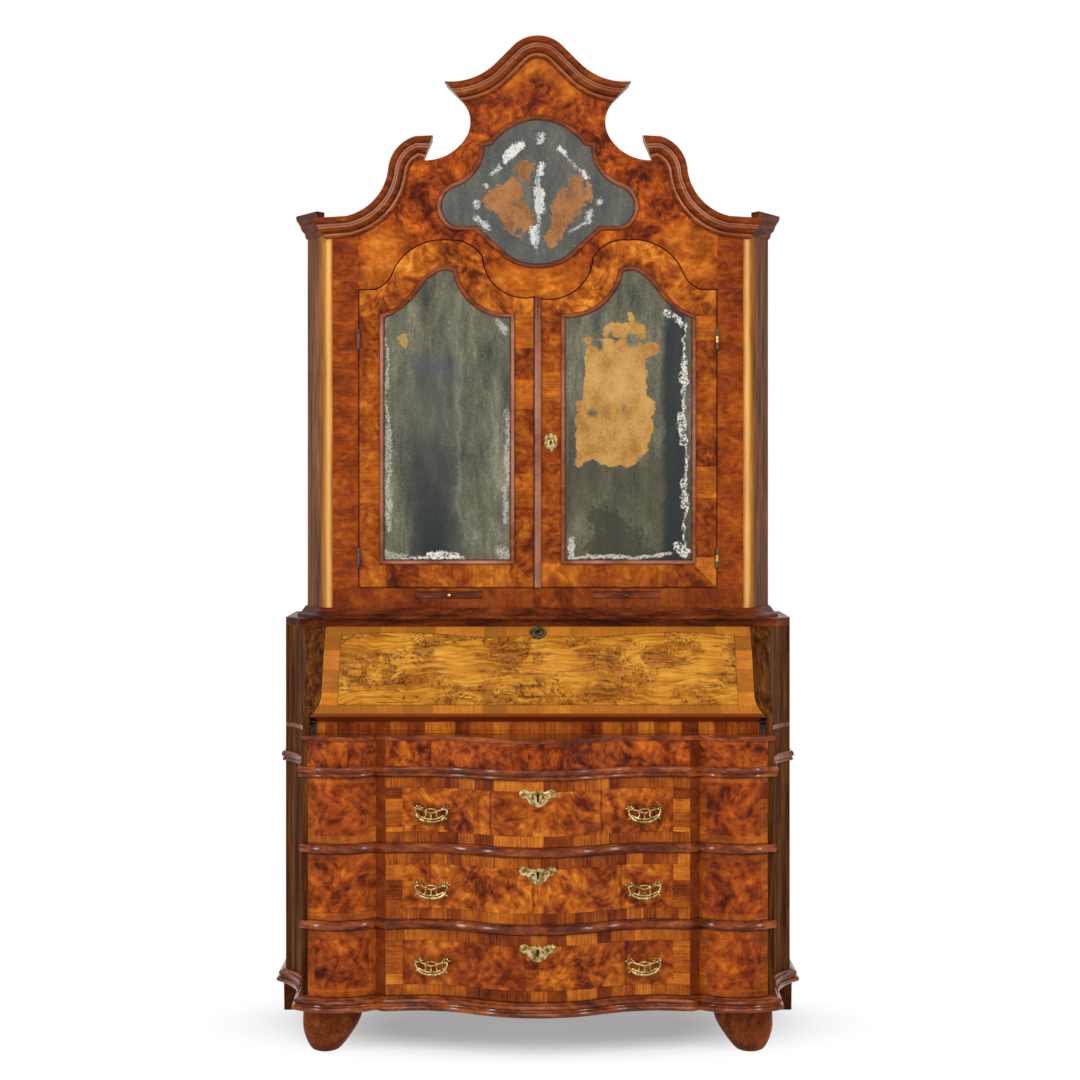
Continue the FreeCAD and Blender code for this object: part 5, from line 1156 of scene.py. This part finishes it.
def make_fall_key_plate():
    """Rim, boss and keyhole on the round plate of the fall."""
    tops = [v.co for v in nodes["fall_ironwork"].data.vertices if v.co.z > writing_level + 0.1]
    outward = Vector((0, -math.sin(fall_slope), math.cos(fall_slope)))
    face = max(point.dot(outward) for point in tops)
    middle = sum(tops, Vector()) / len(tops)
    middle = Vector((0, middle.y, middle.z)) + outward * (face - middle.dot(outward))
    rise = Vector((0, math.cos(fall_slope), math.sin(fall_slope)))
    place = Matrix.Translation(middle) @ Matrix((Vector((1, 0, 0)), -outward, rise)).transposed().to_4x4()
    rings = [
        cast_ring("fall_plate_rim", (0, 0, 0), 18.2, 18.2, 1.6),
        cast_ring("fall_plate_step", (0, 0, 0), 12.5, 12.5, 0.9),
        cast_ring("fall_plate_boss", (0, -0.3, 0), 6.2, 7.6, 1.2)
    ]
    # Painted shade: a black slot on the plate, standing for the keyhole.
    slot = cast_bar("slot", [(0, -0.1, 4.5), (0, -0.1, -4.5)], [2.2, 1.7])
    for name, pieces, kind in (
        ("fall_key_plate", rings, "fall_ironwork"), ("fall_keyhole", [slot], "keyhole")
    ):
        model = joined(f"{name}_model", pieces)
        finished(laid_copy(name, model, place), kind, "fall")
        pick([model])
        bpy.ops.object.delete()


def make_door_key_plate():
    """Relief and keyhole on the small plate of the right-hand door."""
    front = facade_line / mm - plate_thickness
    middle, height = 32.0, 1444.0
    pieces = []
    for side in sides.values():
        for line in (
            [(3.5, -19), (8, -12), (5.5, -4), (9, 3), (12, 9), (8, 14), (5, 9)],
            [(2.5, 17), (6, 19), (9, 15)],
        ):
            points = [(middle + side * x, front - 0.5, height + z) for x, z in line]
            pieces.append(cast_bar("door_plate_scroll", points, [1.2] * (len(line) - 1) + [0.7]))
    pieces.append(cast_ring("door_plate_rim", (middle, front - 0.3, height), 4.2, 8.0, 1.1))
    relief = joined("door_plate_relief", pieces)
    finished(relief, "brass", "right_door")
    # Painted shade: a black slot on the plate, standing for the keyhole.
    slot = [(middle, front - 0.1, height + 4.5), (middle, front - 0.1, height - 5.5)]
    hole = joined("door_keyhole", [cast_bar("door_keyhole_slot", slot, [2.4, 1.6])])
    finished(hole, "keyhole", "right_door")


make_handles_and_locks()
make_fall_key_plate()
make_door_key_plate()


# Floor, light and camera.
def make_floor():
    bpy.ops.object.select_all(action="DESELECT")
    bpy.ops.mesh.primitive_plane_add(size=40, location=(0, 0, -0.0005))
    floor = bpy.context.object
    floor.name = "studio_floor"
    finish = Finish("studio_floor")
    shadow = finish.laid(finish.place, (1.55, 3.2, 0), (0, -0.35, 0))
    shadow_core, shadow_edge, core_white = 0.55, 1.35, 0.34
    far = finish.out(
        "ShaderNodeMapRange", "Result",
        {
            "Value": finish.vector("LENGTH", "Value", {0: shadow}),
            "From Min": shadow_core, "From Max": shadow_edge, "To Min": core_white
        },
        interpolation_type="SMOOTHSTEP"
    )
    matt = finish.out("ShaderNodeBsdfDiffuse", 0, {"Color": (0.84, 0.85, 0.90, 1.0)})
    white = finish.out("ShaderNodeEmission", 0, {"Color": (1.0, 1.0, 1.0, 1.0), "Strength": 1.0})
    blend = finish.out("ShaderNodeMixShader", 0, {0: far * finish.sees_white(), 1: matt, 2: white})
    finish.add("ShaderNodeOutputMaterial", {0: blend})
    floor.data.materials.append(finish.material)


def make_world():
    world = bpy.data.worlds.new("studio")
    bpy.context.scene.world = world
    world.use_nodes = True
    sky = Nodes(world.node_tree)
    soft = sky.out("ShaderNodeBackground", 0, {"Color": (0.95, 0.97, 1.0, 1.0), "Strength": 0.38})
    white = sky.out("ShaderNodeBackground", 0, {"Color": (1.0, 1.0, 1.0, 1.0), "Strength": 1.0})
    blend = sky.out("ShaderNodeMixShader", 0, {0: sky.sees_white(), 1: soft, 2: white})
    sky.add("ShaderNodeOutputWorld", {0: blend})


def make_lamp(name, place, aim, wide, tall, watts):
    data = bpy.data.lights.new(name, "AREA")
    data.shape = "RECTANGLE"
    data.size = wide
    data.size_y = tall
    data.energy = watts
    lamp = bpy.data.objects.new(name, data)
    bpy.context.scene.collection.objects.link(lamp)
    lamp.location = place
    lamp.rotation_euler = (Vector(aim) - Vector(place)).to_track_quat("-Z", "Y").to_euler()


def make_camera():
    picture_width, focal_length = 1080, 2128
    data = bpy.data.cameras.new("photograph")
    data.sensor_width = 36.0
    data.lens = data.sensor_width * focal_length / picture_width
    data.shift_x = 0.002
    data.shift_y = -0.060
    camera = bpy.data.objects.new("photograph", data)
    bpy.context.scene.collection.objects.link(camera)
    camera.location = (0.0, -5.209, 1.364)
    camera.rotation_euler = (math.radians(90), 0, 0)
    bpy.context.scene.camera = camera


make_floor()
make_world()
make_lamp("left_softbox", (-2.6, -2.6, 1.9), (0, 0, 1.2), 0.36, 2.2, 58)
make_lamp("right_softbox", (2.6, -2.6, 1.9), (0, 0, 1.2), 0.36, 2.2, 45)
make_lamp("front_fill", (0.0, -4.0, 4.6), (0, 0, 1.1), 3.0, 1.4, 76)
make_camera()
bpy.context.scene.view_settings.view_transform = "Standard"
